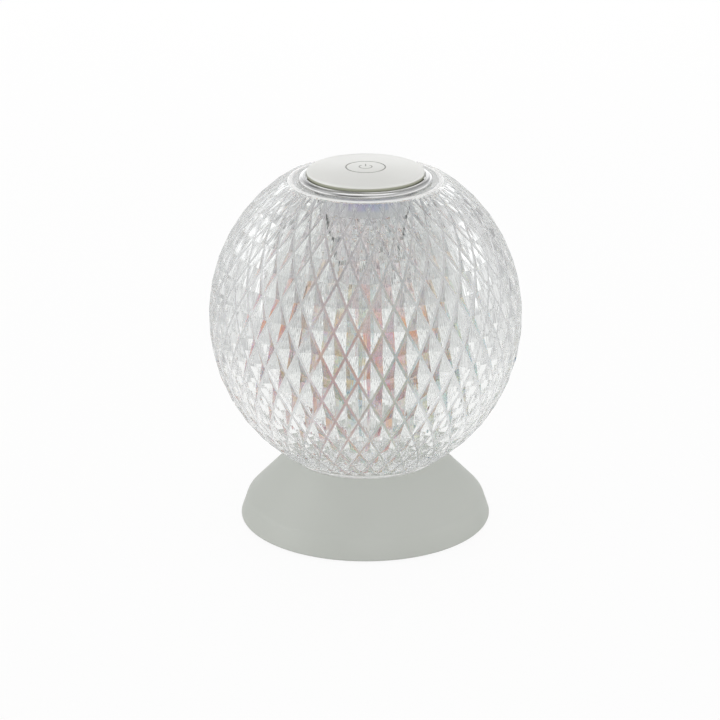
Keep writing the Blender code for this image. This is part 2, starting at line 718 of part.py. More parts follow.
def make_battery_and_tray():
    half_length, half_width = tray_length / 2, tray_width / 2
    low = (-half_length, -half_width, tray_bottom_z)
    high = (half_length, half_width, tray_top_z)
    tray = block("battery_tray", low, high, INNER_PLASTIC, TRAY_CORNER)
    inner_length = half_length - TRAY_WALL
    inner_width = half_width - TRAY_WALL
    low = (-inner_length, -inner_width, tray_bottom_z + TRAY_FLOOR)
    high = (inner_length, inner_width, tray_top_z + OVERRUN)
    cut(tray, block("tray_hollow", low, high, INNER_PLASTIC))
    low = (-BATTERY_LENGTH / 2, -BATTERY_WIDTH / 2, battery_bottom_z)
    high = (BATTERY_LENGTH / 2, BATTERY_WIDTH / 2, battery_top_z)
    block("battery_cell", low, high, CELL_WRAP, BATTERY_EDGE, 0)


def make_main_board():
    half_length = tray_length / 2 - BOARD_INSET
    half_width = tray_width / 2 - BOARD_INSET
    low = (-half_length, -half_width, board_bottom_z)
    board = block("main_board", low, (half_length, half_width, board_top_z), BOARD_GREEN)
    solder_z = board_top_z - SOLDER_DEPTH
    # Where the components stand, as shares of the board's half length and half width
    chip_shares, coil_shares, plug_shares = (-0.3, -0.35), (0.45, -0.3), (0.0, 0.42)
    x, y = chip_shares[0] * half_length, chip_shares[1] * half_width
    half = CHIP_SIZE / 2
    low, high = (x - half, y - half, solder_z), (x + half, y + half, board_top_z + CHIP_HEIGHT)
    join(board, block("driver_chip", low, high, BOARD_GREEN))
    x, y = coil_shares[0] * half_length, coil_shares[1] * half_width
    join(board, rod("coil", COIL_RADIUS, solder_z, board_top_z + COIL_HEIGHT, BOARD_GREEN, x, y))
    x, y = plug_shares[0] * half_length, plug_shares[1] * half_width
    half = PLUG_SIZE / 2
    low, high = (x - half, y - half, solder_z), (x + half, y + half, board_top_z + PLUG_HEIGHT)
    join(board, block("lead_plug", low, high, BOARD_GREEN))
    return Vector((x, y + half, board_top_z + PLUG_HEIGHT / 2))


def make_charging_parts():
    """The charging board, the socket with its tongue, and the indicator's light pipe."""
    half = CHARGE_BOARD_WIDTH / 2
    low = (-half, charge_board_low_y, socket_z - CHARGE_BOARD_THICKNESS / 2)
    high = (half, charge_board_high_y, socket_z + CHARGE_BOARD_THICKNESS / 2)
    board = block("charge_board", low, high, BOARD_GREEN)
    half = SOCKET_WIDTH / 2 + GAP
    low = (-half, socket_back_y - GAP, socket_z - SOCKET_HEIGHT)
    high = (half, base_radius, socket_z + SOCKET_HEIGHT)
    cut(board, block("socket_bay", low, high, BOARD_GREEN))
    cut(board, pipe_solid("pipe_bay", PIPE_RADIUS + GAP, GAP))

    half_width, half_height = SOCKET_WIDTH / 2, SOCKET_HEIGHT / 2
    low = (-half_width, socket_back_y, socket_z - half_height)
    high = (half_width, socket_mouth_y, socket_z + half_height)
    socket = block("charge_socket", low, high, STEEL, SOCKET_CORNER, 1, ARC_STEPS)
    half_width -= SOCKET_WALL
    half_height -= SOCKET_WALL
    low = (-half_width, socket_back_y + SOCKET_BACK_WALL, socket_z - half_height)
    high = (half_width, socket_mouth_y + OVERRUN, socket_z + half_height)
    corner = SOCKET_CORNER - SOCKET_WALL
    cut(socket, block("socket_hollow", low, high, STEEL, corner, 1, ARC_STEPS))

    back = socket_back_y + SOCKET_BACK_WALL + GAP
    low = (-TONGUE_WIDTH / 2, back, socket_z - TONGUE_THICKNESS / 2)
    high = (TONGUE_WIDTH / 2, back + TONGUE_LENGTH, socket_z + TONGUE_THICKNESS / 2)
    block("socket_tongue", low, high, BLACK_PLASTIC)
    pipe_solid("charge_light_pipe", PIPE_RADIUS)


def make_light_module():
    """The heat spreader, the board with its lamps, and the frosted dome over them."""
    radius = spigot_inner_radius - GAP
    bottom = deck_top_z + GAP
    top = bottom + SPREADER_THICKNESS
    spreader = rod("heat_spreader", radius, bottom, top, ALUMINIUM, segments=SMALL_SEGMENTS)
    cut(spreader, passage("spreader_passage"))

    bottom = top + GAP
    top = bottom + LED_BOARD_THICKNESS
    board = rod("led_board", radius, bottom, top, BOARD_WHITE, segments=SMALL_SEGMENTS)
    for index in range(LED_COUNT):
        x, y = on_circle(LED_CIRCLE_RADIUS, index, LED_COUNT, 360 / LED_COUNT / 2)
        half = LED_SIZE / 2
        low, high = (x - half, y - half, top - SOLDER_DEPTH), (x + half, y + half, top + LED_HEIGHT)
        join(board, block("led", low, high, BOARD_WHITE))
    cut(board, passage("board_passage"))

    rim_z = spigot_top_z + GAP
    outer = spigot_radius - DIFFUSER_INSET
    inner = outer - DIFFUSER_WALL
    profile = []
    for step in range(DOME_STEPS + 1):
        angle = math.pi / 2 * (1 - step / DOME_STEPS)
        height = rim_z + DIFFUSER_HEIGHT * math.sin(angle)
        profile.append((outer * math.cos(angle) if step else 0.0, height))
    inner_height = DIFFUSER_HEIGHT - DIFFUSER_WALL
    for step in range(DOME_STEPS + 1):
        angle = math.pi / 2 * step / DOME_STEPS
        at_axis = step == DOME_STEPS
        height = rim_z + inner_height * math.sin(angle)
        profile.append((0.0 if at_axis else inner * math.cos(angle), height))
    dome = turned("led_diffuser", profile, FROSTED, SMALL_SEGMENTS, is_loop=False)
    cut(dome, passage("dome_passage"))


def make_globe_gasket():
    outer, inner = globe_foot_radius - GASKET_INSET, globe_foot_bore_radius + GASKET_INSET
    top = gasket_bottom_z + GASKET_THICKNESS
    profile = [
        (inner, top),
        (outer, top),
        (outer, gasket_bottom_z),
        (inner, gasket_bottom_z),
    ]
    turned("globe_gasket", profile, SILICONE, SMALL_SEGMENTS)


def make_light_tube():
    profile = [
        (tube_top_inner_radius, tube_top_z),
        (tube_top_radius, tube_top_z),
        (TUBE_FOOT_RADIUS, tube_bottom_z),
        (tube_foot_inner_radius, tube_bottom_z),
    ]
    turned("light_tube", profile, FILM_TUBE, RING_SEGMENTS)


def net_latitude(row):
    """The latitude of a row of the cut net, in radians; row 0 is the first above the middle."""
    return math.radians(DIAMOND_ROW_DEG) * (row + 1 / 2)


def net_point(column, row):
    """A corner of the cut net: a crossing of two ribs, or else the sunk middle of a diamond.

    The two alternate along a row and from row to row. The diamonds grow shallower as they
    narrow towards the top and the foot.
    """
    latitude = net_latitude(row)
    share = 1.0
    if (column + row) % 2:
        share -= DIAMOND_DEPTH * math.cos(latitude) ** 2 / GLOBE_RADIUS
    angle = math.radians(DIAMOND_PHASE_DEG) + math.pi * column / DIAMOND_COUNT
    radius = GLOBE_RADIUS * math.cos(latitude) * share
    height = globe_centre_z + GLOBE_HALF_HEIGHT * math.sin(latitude) * share
    return Vector((radius * math.sin(angle), -radius * math.cos(angle), height))


def net_rows():
    """The whole rows of the net between the flat top and the smooth band, from the top down."""
    step = math.radians(DIAMOND_ROW_DEG)
    half_band = math.radians(SMOOTH_BAND_DEG)
    highest = lowest = math.floor(top_latitude / step - 1 / 2 - RIM_START_SHARE)
    while net_latitude(lowest - 1) > foot_latitude + 2 * half_band:
        lowest -= 1
    return list(range(highest, lowest - 1, -1))


def at_rim(low, high):
    """Where the line from one point of the net to one in the row above meets the globe's top."""
    share = min((globe_top_z - low.z) / (high.z - low.z), RIM_REACH_SHARE)
    met = low + (high - low) * share
    return Vector((met.x, met.y, globe_top_z))


def make_globe_shell():
    """The hollow crystal ball, a loft of rings, with a net of sunk diamonds on its outside.

    Each ring has two points to a diamond. Along a row every other point is a crossing of two
    ribs, and the points between them are the diamonds' middles, sunk by their depth. The next
    row is shifted by one point, so each quad has two crossings at opposite corners, and a rib
    runs between them. The flat top cuts through the net, so the ribs stand out at its edge.
    """
    columns = 2 * DIAMOND_COUNT
    shape = bmesh.new()
    smooth_faces = []

    def add(*corners):
        return shape.faces.new(corners)

    def plain_ring(radius, height):
        verts = []
        for column in range(columns):
            angle = math.radians(DIAMOND_PHASE_DEG) + 2 * math.pi * column / columns
            place = (radius * math.sin(angle), -radius * math.cos(angle), height)
            verts.append(shape.verts.new(place))
        return verts

    def skin(upper, lower, crossing_parity=None):
        for column in range(columns):
            a, b = upper[column], upper[(column + 1) % columns]
            c, d = lower[(column + 1) % columns], lower[column]
            if crossing_parity is None:
                smooth_faces.append(add(a, d, c, b))
            elif (column + crossing_parity) % 2:
                add(a, d, b)
                add(b, d, c)
            else:
                add(a, d, c)
                add(a, c, b)

    rows = net_rows()
    net = {row: [shape.verts.new(net_point(c, row)) for c in range(columns)] for row in rows}
    top_row = rows[0]
    rim, rib_ends = [], []
    for column in range(columns):
        low, low_next = net_point(column, top_row), net_point(column + 1, top_row)
        high, high_next = net_point(column, top_row + 1), net_point(column + 1, top_row + 1)
        rim.append(shape.verts.new(at_rim(low, high)))
        starts_here = (column + top_row) % 2 == 0
        rib_end = at_rim(low, high_next) if starts_here else at_rim(low_next, high)
        rib_ends.append(shape.verts.new(rib_end))

    bead_middle = bead_inner_radius + BEAD_WIDTH / 2
    first = plain_ring(globe_top_bore_radius, globe_top_z)
    bead = (
        (bead_inner_radius, globe_top_z),
        (bead_middle, globe_top_z + BEAD_HEIGHT),
        (bead_outer_radius, globe_top_z),
    )
    above = first
    for radius, height in bead:
        ring_here = plain_ring(radius, height)
        skin(above, ring_here)
        above = ring_here
    for column in range(columns):
        after = (column + 1) % columns
        rib_end, here, there = rib_ends[column], rim[column], rim[after]
        add(above[column], here, rib_end)
        add(above[column], rib_end, above[after])
        add(rib_end, there, above[after])
        low, low_next = net[top_row][column], net[top_row][after]
        if (column + top_row) % 2 == 0:
            add(here, low, rib_end)
            add(low, low_next, there)
            add(low, there, rib_end)
        else:
            add(here, low, low_next)
            add(here, low_next, rib_end)
            add(rib_end, low_next, there)
    for row in rows[1:]:
        skin(net[row + 1], net[row], row + 1)
    above, parity = net[rows[-1]], rows[-1]
    smooth = net_latitude(rows[-1]) - math.radians(SMOOTH_BAND_DEG)
    for share in (0.0, 0.5, 1.0):
        latitude = smooth + (foot_latitude - smooth) * share
        height = globe_centre_z + GLOBE_HALF_HEIGHT * math.sin(latitude)
        ring_here = plain_ring(GLOBE_RADIUS * math.cos(latitude), height)
        skin(above, ring_here, parity)
        above, parity = ring_here, None
    inner = [(globe_foot_bore_radius, globe_foot_z)]
    for step in range(GLOBE_INNER_STEPS + 1):
        latitude = throat_latitude + (neck_latitude - throat_latitude) * step / GLOBE_INNER_STEPS
        height = globe_centre_z + globe_inner_half_height * math.sin(latitude)
        inner.append((globe_inner_radius * math.cos(latitude), height))
    for radius, height in inner:
        ring_here = plain_ring(radius, height)
        skin(above, ring_here)
        above = ring_here
    skin(above, first)
    for face in shape.faces:
        face.smooth = False
    for face in smooth_faces:
        face.smooth = True
    mesh = bpy.data.meshes.new("globe_shell")
    shape.to_mesh(mesh)
    shape.free()
    link("globe_shell", mesh, CRYSTAL)


def make_top_ring():
    profile = [
        (ring_bore_radius, ledge_z),
        (lip_inner_radius, ledge_z),
        (lip_inner_radius, lip_z, RIM_FILLET / 2),
        (lip_inner_radius + LIP_WIDTH, lip_z, RIM_FILLET / 2),
    ]
    round_start_z = ring_bottom_z + RING_EDGE
    width = ring_radius - lip_inner_radius - LIP_WIDTH
    rise = lip_z - round_start_z
    for step in range(1, DOME_STEPS + 1):
        angle = math.pi / 2 * (1 - step / DOME_STEPS)
        radius = ring_radius - width * (1 - math.cos(angle))
        profile.append((radius, round_start_z + rise * math.sin(angle)))
    profile += [
        (ring_radius, ring_bottom_z),
        (collar_radius, ring_bottom_z),
        (collar_radius, collar_bottom_z),
        (ring_spigot_radius, collar_bottom_z),
        (ring_spigot_radius, ring_spigot_bottom_z),
        (undercut_radius, ring_spigot_bottom_z),
        (undercut_radius, hook_shoulder_z),
        (ring_bore_radius, hook_shoulder_z),
    ]
    turned("top_ring", profile, POLISHED_RING, RING_SEGMENTS)


def icon_groove(name, radius):
    """A cutter for a thin ring engraved in the cap's dome."""
    floor = cap_apex_z - CAP_DOME_RISE * (radius / CAP_RADIUS) ** 2 - ICON_DEPTH
    outer, inner = radius + ICON_LINE / 2, radius - ICON_LINE / 2
    groove = [
        (inner, cap_apex_z + OVERRUN),
        (outer, cap_apex_z + OVERRUN),
        (outer, floor),
        (inner, floor),
    ]
    return turned(name, groove, CAP_PLASTIC, SMALL_SEGMENTS)


def make_push_cap():
    """The domed cap, its skirt with hooks, and the boss that works the switch."""
    profile = [(0.0, cap_apex_z)]
    rim_share = 1 - CAP_FILLET / CAP_RADIUS
    for step in range(1, DOME_STEPS):
        share = rim_share * step / DOME_STEPS
        profile.append((CAP_RADIUS * share, cap_apex_z - CAP_DOME_RISE * share**2))
    inner_skirt = skirt_radius - SKIRT_WALL
    profile += [
        (CAP_RADIUS, cap_rim_top_z, CAP_FILLET),
        (CAP_RADIUS, cap_rim_bottom_z, CAP_LOWER_FILLET),
        (skirt_radius, cap_rim_bottom_z),
        (skirt_radius, hook_top_z),
        (hook_radius, hook_top_z),
        (hook_radius - HOOK_OVERHANG / 2, hook_bottom_z),
        (inner_skirt, hook_bottom_z),
        (inner_skirt, cap_under_z),
        (BOSS_TIP_RADIUS, cap_under_z),
        (BOSS_TIP_RADIUS, plunger_top_z + GAP),
        (0.0, plunger_top_z + GAP),
    ]
    cap = turned("push_cap", profile, CAP_PLASTIC, RING_SEGMENTS, is_loop=False)
    for index in range(HOOK_SLOT_COUNT // 2):
        half = HOOK_SLOT_WIDTH / 2
        low = (-hook_radius - OVERRUN, -half, hook_bottom_z - OVERRUN)
        high = (hook_radius + OVERRUN, half, hook_top_z + OVERRUN)
        slot = block("hook_slot", low, high, CAP_PLASTIC)
        slot.rotation_euler = (0.0, 0.0, math.pi / HOOK_SLOT_COUNT * (1 + 2 * index))
        cut(cap, slot)
    cut(cap, icon_groove("icon_ring", ICON_RING_RADIUS))
    cut(cap, icon_groove("power_ring", POWER_RING_RADIUS))
    low = (-ICON_LINE / 2, 0.0, cap_apex_z - ICON_DEPTH)
    high = (ICON_LINE / 2, POWER_BAR_LENGTH, cap_apex_z + OVERRUN)
    cut(cap, block("power_bar", low, high, CAP_PLASTIC))


def make_switch_parts():
    """The carrier in the ring's lower end, the switch on its board, and the return spring."""
    rim_radius = undercut_radius - GAP
    profile = [
        (0.0, carrier_top_z),
        (rim_radius - CARRIER_RIM_WALL, carrier_top_z),
        (rim_radius - CARRIER_RIM_WALL, carrier_top_z + CARRIER_RIM_HEIGHT),
        (rim_radius, carrier_top_z + CARRIER_RIM_HEIGHT),
        (rim_radius, carrier_top_z),
        (ring_spigot_radius, carrier_top_z),
        (ring_spigot_radius, carrier_bottom_z),
        (0.0, carrier_bottom_z),
    ]
    carrier = turned("switch_carrier", profile, INNER_PLASTIC, SMALL_SEGMENTS, is_loop=False)
    low, high = carrier_bottom_z - OVERRUN, carrier_top_z + OVERRUN
    lead_hole = rod(
        "lead_hole", LEAD_RADIUS + GAP, low, high, INNER_PLASTIC, 0.0, carrier_lead_y
    )
    cut(carrier, lead_hole)

    rod(
        "switch_board",
        SWITCH_BOARD_RADIUS,
        switch_board_bottom_z,
        switch_board_top_z,
        BOARD_GREEN,
        segments=SMALL_SEGMENTS,
    )
    half = SWITCH_SIZE / 2
    low, high = (-half, -half, switch_bottom_z), (half, half, switch_top_z)
    housing = block("switch_housing", low, high, BLACK_PLASTIC)
    well_bottom = plunger_bottom_z - CAP_TRAVEL - GAP
    well_radius = PLUNGER_RADIUS + GAP
    cut(
        housing,
        rod("well", well_radius, well_bottom, switch_top_z + OVERRUN, BLACK_PLASTIC),
    )
    rod("switch_plunger", PLUNGER_RADIUS, plunger_bottom_z, plunger_top_z, BLACK_PLASTIC)

    bottom = switch_board_top_z + GAP + SPRING_WIRE_RADIUS
    top = cap_under_z - GAP - SPRING_WIRE_RADIUS
    count = int(SPRING_TURNS * SPRING_POINTS_A_TURN)
    points = []
    for i in range(count + 1):
        angle = 2 * math.pi * i / SPRING_POINTS_A_TURN
        x, y = SPRING_RADIUS * math.cos(angle), SPRING_RADIUS * math.sin(angle)
        points.append((x, y, bottom + (top - bottom) * i / count))
    wire("return_spring", points, SPRING_WIRE_RADIUS, STEEL, 1)


def wire(name, points, radius, material, resolution=2):
    """A round wire along a list of points."""
    curve = bpy.data.curves.new(name, "CURVE")
    curve.dimensions = "3D"
    curve.bevel_depth = radius
    curve.bevel_resolution = resolution
    curve.use_fill_caps = True
    spline = curve.splines.new("POLY")
    spline.points.add(len(points) - 1)
    for point, place in zip(spline.points, points):
        point.co = (*place, 1.0)
    curve.materials.append(material)
    obj = bpy.data.objects.new(name, curve)
    PARTS.objects.link(obj)
    return obj


def smooth_route(knots):
    """Points about LEAD_STEP apart on a smooth curve through the knots."""
    knots = [Vector(knot) for knot in knots]
    ends = [2 * knots[0] - knots[1], *knots, 2 * knots[-1] - knots[-2]]
    points = []
    for a, b, c, d in zip(ends, ends[1:], ends[2:], ends[3:]):
        steps = max(2, round((c - b).length / LEAD_STEP))
        steps = min(steps, 10)
        for step in range(steps):
            t = step / steps
            points.append(
                0.5 * (2 * b + (c - a) * t + (2 * a - 5 * b + 4 * c - d) * t**2)
                + 0.5 * (3 * b - 3 * c + d - a) * t**3
            )
    return [*points, knots[-1]]


carrier_lead_y = ring_spigot_radius - RING_SPIGOT_WALL - CARRIER_RIM_WALL - LEAD_RADIUS - 3 * GAP


def tube_inner_radius_at(height):
    share = (height - tube_bottom_z) / (tube_top_z - tube_bottom_z)
    return tube_foot_inner_radius + (tube_top_inner_radius - tube_foot_inner_radius) * share


def make_leads(plug):
    """The cap's lead, up the back of the tube, and the two leads inside the base."""
    off_wall = LEAD_RADIUS + GAP
    dome_top_z = spigot_top_z + GAP + DIFFUSER_HEIGHT
    low_z = dome_top_z + OVERRUN
    high_z = carrier_bottom_z - 2 * OVERRUN
    knots = [
        (0.0, plug.y + GAP + LEAD_RADIUS, plug.z),
        (0.0, passage_y, deck_bottom_z),
        (0.0, passage_y, deck_top_z),
        (0.0, passage_y, spigot_top_z + GAP),
        (0.0, passage_y, dome_top_z - OVERRUN),
        (0.0, tube_inner_radius_at(low_z) - off_wall, low_z + OVERRUN),
        (0.0, tube_inner_radius_at((low_z + high_z) / 2) - off_wall, (low_z + high_z) / 2),
        (0.0, carrier_lead_y, high_z),
        (0.0, carrier_lead_y, carrier_bottom_z),
        (0.0, carrier_lead_y, carrier_top_z),
    ]
    wire("cap_lead", smooth_route(knots), LEAD_RADIUS, LEAD_SLEEVE)

    # From the charging board up the tray's back wall and over the main board's edge
    x = -CHARGE_BOARD_WIDTH / 4
    clear_y = tray_width / 2 + GAP + LEAD_RADIUS
    over_board_z = board_top_z + GAP + LEAD_RADIUS
    knots = [
        (x, charge_board_low_y + LEAD_STEP, charge_board_top_z + off_wall),
        (x, charge_board_low_y - LEAD_STEP, charge_board_top_z + LEAD_STEP),
        (x, clear_y + LEAD_STEP, (charge_board_top_z + board_top_z) / 2),
        (x, clear_y, board_bottom_z),
        (x, tray_width / 2 - BOARD_INSET / 2, over_board_z + GAP),
        (x, tray_width / 2 - BOARD_INSET - LEAD_STEP, over_board_z),
    ]
    wire("charge_lead", smooth_route(knots), LEAD_RADIUS, LEAD_SLEEVE)

    # On top of the cell, from its tabs to the middle of the board over it
    z = (battery_top_z + board_bottom_z) / 2
    knots = [
        (BATTERY_LENGTH / 2 - LEAD_STEP, -BATTERY_WIDTH / 4, z),
        (BATTERY_LENGTH / 4, -BATTERY_WIDTH / 8, z),
        (BATTERY_LENGTH / 8, 0.0, z),
    ]
    wire("battery_lead", smooth_route(knots), BATTERY_LEAD_RADIUS, LEAD_SLEEVE)


make_base_shell()
make_bottom_cover()
make_foot_ring()
make_cover_screws()
make_weight()
make_battery_and_tray()
lead_plug = make_main_board()
make_charging_parts()
make_light_module()
make_globe_gasket()
make_light_tube()
make_globe_shell()
make_top_ring()
make_push_cap()
make_switch_parts()
make_leads(lead_plug)
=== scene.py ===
"""The crystal table lamp's looks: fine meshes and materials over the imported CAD, and a studio.

Meshes are made in millimetres, and finish_mesh scales them to metres. Materials, lamps, the
studio and the camera are in metres.
"""

import json
import math

import bmesh
import bpy
from mathutils import Matrix, Vector


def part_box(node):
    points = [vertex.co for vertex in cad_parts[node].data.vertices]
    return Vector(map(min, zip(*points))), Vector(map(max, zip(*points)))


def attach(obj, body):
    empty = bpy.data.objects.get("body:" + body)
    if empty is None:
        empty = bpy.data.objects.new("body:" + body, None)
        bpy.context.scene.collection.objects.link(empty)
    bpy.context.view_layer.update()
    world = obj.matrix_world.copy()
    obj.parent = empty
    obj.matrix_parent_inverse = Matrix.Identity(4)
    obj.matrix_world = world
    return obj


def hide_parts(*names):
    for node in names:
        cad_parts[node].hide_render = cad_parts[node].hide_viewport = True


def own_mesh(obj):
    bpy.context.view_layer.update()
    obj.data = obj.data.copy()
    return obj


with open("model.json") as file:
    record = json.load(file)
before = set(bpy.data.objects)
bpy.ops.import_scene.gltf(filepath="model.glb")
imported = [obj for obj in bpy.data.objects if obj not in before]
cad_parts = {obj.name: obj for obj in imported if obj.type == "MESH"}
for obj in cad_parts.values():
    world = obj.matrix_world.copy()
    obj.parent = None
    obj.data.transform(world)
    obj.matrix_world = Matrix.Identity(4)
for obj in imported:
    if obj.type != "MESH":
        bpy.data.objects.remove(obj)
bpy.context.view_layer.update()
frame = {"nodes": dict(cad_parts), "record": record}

MM = 0.001
TAU = 2 * math.pi

# The globe: an ellipsoid cut flat at its foot and its top, in millimetres
GLOBE_RADIUS, GLOBE_HALF = 60.0, 63.4
GLOBE_WALL = 5.0
INNER_RADIUS, INNER_HALF = GLOBE_RADIUS - GLOBE_WALL, GLOBE_HALF - GLOBE_WALL
FOOT_Z = 24.0
FOOT_BORE, FOOT_RADIUS = 19.8, 23.8
TOP_BORE, TOP_RADIUS = 23.6, 31.5
BEAD_IN, BEAD_OUT, BEAD_RISE = 27.6, 29.5, 0.35
FOOT_LATITUDE = -math.acos(FOOT_RADIUS / GLOBE_RADIUS)
THROAT_LATITUDE = -math.acos(FOOT_BORE / INNER_RADIUS)
NECK_LATITUDE = math.acos(TOP_BORE / INNER_RADIUS)
CENTRE_Z = FOOT_Z + GLOBE_HALF * math.sqrt(1 - (FOOT_RADIUS / GLOBE_RADIUS) ** 2)
TOP_Z = CENTRE_Z + GLOBE_HALF * math.sqrt(1 - (TOP_RADIUS / GLOBE_RADIUS) ** 2)
NECK_Z = CENTRE_Z + INNER_HALF * math.sin(NECK_LATITUDE)

# The net of sunk diamonds. A diamond spans two columns and two rows.
COLUMNS = 2 * 41
LOWEST_ROW, HIGHEST_ROW = -7, 7
ROW_DEG = 8.2
PHASE = math.radians(1.7)
PIT_DEPTH = 2.6
RIB_SHARE = 0.12  # of the way from a crossing to a diamond's middle, where the rib's flat ends
BAND_POINTS = 3  # to a column, on the band that the lowest ribs run out on
BAND_LATITUDE = math.radians(ROW_DEG * (LOWEST_ROW + 0.5) - ROW_DEG / 2)
SEGMENTS = BAND_POINTS * COLUMNS
FLUTE_DEPTH = 0.015
FLUTE_SIDES = 4  # of the mesh to each flute, and a flute to each segment
BEAD, LAND, RIB = 1, 2, 3  # material indices on the globe

# The ring in the globe's neck, and the cap in the ring
RING_RADIUS = 25.2
RING_BOTTOM = TOP_Z + 0.3
LIP_IN, LIP_OUT = 22.725, 23.175
LIP_Z = RING_BOTTOM + 1.8
CAP_RADIUS = 22.3
CAP_RIM_LOW = LIP_Z - 0.25
CAP_RIM_TOP = CAP_RIM_LOW + 2.0
CAP_DOME = 1.3
CAP_APEX = CAP_RIM_TOP + CAP_DOME
NECK_SEGMENTS, BASE_SEGMENTS = 192, 240  # round what is turned


class Nodes:
    """A small builder for a material's node tree. An underscore stands for a space in a name."""

    def __init__(self, name):
        self.material = bpy.data.materials.new(name)
        self.material.use_nodes = True
        self.tree = self.material.node_tree
        self.shader = self.tree.nodes["Principled BSDF"]

    def add(self, kind, **settings):
        node = self.tree.nodes.new("ShaderNode" + kind)
        for key, value in settings.items():
            if hasattr(node, key):
                setattr(node, key, value)
            else:
                self.put(value, node.inputs[key.replace("_", " ")])
        return node

    def put(self, value, target):
        """Links the target to a socket, or gives it a plain value."""
        if isinstance(value, bpy.types.NodeSocket):
            self.tree.links.new(value, target)
        else:
            target.default_value = value

    def set(self, **values):
        """Sockets and plain values for the material's own shader."""
        for key, value in values.items():
            self.put(value, self.shader.inputs[key.replace("_", " ")])

    def surface(self, socket):
        """What the material shows in place of its own shader."""
        self.put(socket, self.tree.nodes["Material Output"].inputs["Surface"])

    def position(self):
        return self.add("TexCoord").outputs["Object"]

    def axes(self):
        """The place on the object as sockets named X, Y and Z."""
        return self.add("SeparateXYZ", Vector=self.position()).outputs

    def noise(self, scale, detail, rough=0.55, vector=None):
        node = self.add("TexNoise", Scale=scale, Detail=detail, Roughness=rough)
        self.put(vector or self.position(), node.inputs["Vector"])
        return node.outputs["Fac"]

    def ramp(self, factor, stops):
        node = self.add("ValToRGB")
        elements = node.color_ramp.elements
        while len(elements) < len(stops):
            elements.new(0.5)
        for element, (place, colour) in zip(elements, stops):
            element.position = place
            element.color = (*colour, 1.0)
        self.put(factor, node.inputs["Fac"])
        return node.outputs["Color"]

    def shades(self, factor, low, high, spread=0.4):
        """Soft patches of two close colours, either side of a noise's middle value."""
        return self.ramp(factor, ((0.5 - spread / 2, low), (0.5 + spread / 2, high)))

    def to_range(self, factor, low, high, at_low=0.0, at_high=1.0):
        """From low to high while the factor goes from at_low to at_high, and level beyond."""
        node = self.add(
            "MapRange", From_Min=at_low, From_Max=at_high, To_Min=low, To_Max=high, Value=factor
        )
        return node.outputs["Result"]

    def calculate(self, operation, *values):
        node = self.add("Math", operation=operation)
        for value, target in zip(values, node.inputs):
            self.put(value, target)
        return node.outputs[0]

    def mix(self, factor, low, high, blend_type="MIX"):
        """From the colour low to the colour high, or low multiplied by high."""
        node = self.add("Mix", data_type="RGBA", blend_type=blend_type)
        for value, target in zip((factor, low, high), (0, 6, 7)):
            self.put(value, node.inputs[target])
        return node.outputs[2]

    def mix_values(self, factor, low, high):
        node = self.add("Mix", data_type="FLOAT")
        for value, target in zip((factor, low, high), (0, 2, 3)):
            self.put(value, node.inputs[target])
        return node.outputs[0]

    def bump(self, height, strength, distance):
        node = self.add("Bump", Strength=strength, Distance=distance, Height=height)
        self.set(Normal=node.outputs["Normal"])


def on_circle(radius, angle, height):
    """A point round the lamp's axis, with the angle counted from the front."""
    return (radius * math.sin(angle), -radius * math.cos(angle), height)


def new_object(name, data):
    obj = bpy.data.objects.new(name, data)
    bpy.context.scene.collection.objects.link(obj)
    return obj


def finish_mesh(name, shape, *materials, smooth_deg=30.0):
    """An object from a bmesh in millimetres, shaded smooth but for its sharp edges."""
    bmesh.ops.recalc_face_normals(shape, faces=shape.faces)
    bmesh.ops.scale(shape, vec=(MM, MM, MM), verts=shape.verts)
    mesh = bpy.data.meshes.new(name)
    shape.to_mesh(mesh)
    shape.free()
    for material in materials:
        mesh.materials.append(material)
    mesh.shade_smooth()
    mesh.set_sharp_from_angle(angle=math.radians(smooth_deg))
    return new_object(name, mesh)


def let_light_through(obj):
    """Clear acrylic throws no shadow on what it holds or stands on."""
    obj.visible_shadow = obj.visible_diffuse = False


def arc_corner(before, here, after, radius, steps):
    """The points of a fillet of this radius at one corner of a profile."""
    here = Vector(here[:2])
    a, b = Vector(before[:2]) - here, Vector(after[:2]) - here
    half = a.angle(b) / 2
    side_share = 0.48  # of a side, which the fillet at either of its ends takes at most
    reach = min(radius / math.tan(half), side_share * a.length, side_share * b.length)
    radius = reach * math.tan(half)
    start, end = here + a.normalized() * reach, here + b.normalized() * reach
    centre = here + (a.normalized() + b.normalized()).normalized() * (radius / math.sin(half))
    first, last = start - centre, end - centre
    turn = math.atan2(first.x * last.y - first.y * last.x, first.dot(last))
    spins = (Matrix.Rotation(turn * i / steps, 2) for i in range(steps + 1))
    return [tuple(centre + spin @ first) for spin in spins]


def outline(corners, closed=True, steps=5):
    """A profile's points from (radius, height) or (radius, height, fillet) corners."""
    points = []
    for i, corner in enumerate(corners):
        at_end = not closed and i in (0, len(corners) - 1)
        if len(corner) < 3 or at_end:
            points.append(tuple(corner[:2]))
        else:
            after = corners[(i + 1) % len(corners)]
            points += arc_corner(corners[i - 1], corner, after, corner[2], steps)
    return points


def lathe(shape, points, segments, closed=True):
    """Turns a profile of (radius, height) points about Z into faces of the bmesh."""
    on_axis = 1e-6
    rings = []
    for radius, height in points:
        count = 1 if radius < on_axis else segments
        angles = (TAU * i / segments for i in range(count))
        rings.append([shape.verts.new(on_circle(radius, angle, height)) for angle in angles])
    pairs = list(zip(rings, rings[1:]))
    if closed:
        pairs.append((rings[-1], rings[0]))
    for upper, lower in pairs:
        for i in range(segments):
            j = (i + 1) % segments
            corners = [upper[i % len(upper)], upper[j % len(upper)]]
            corners += [lower[j % len(lower)], lower[i % len(lower)]]
            unique = list(dict.fromkeys(corners))
            if len(unique) > 2:
                shape.faces.new(unique)


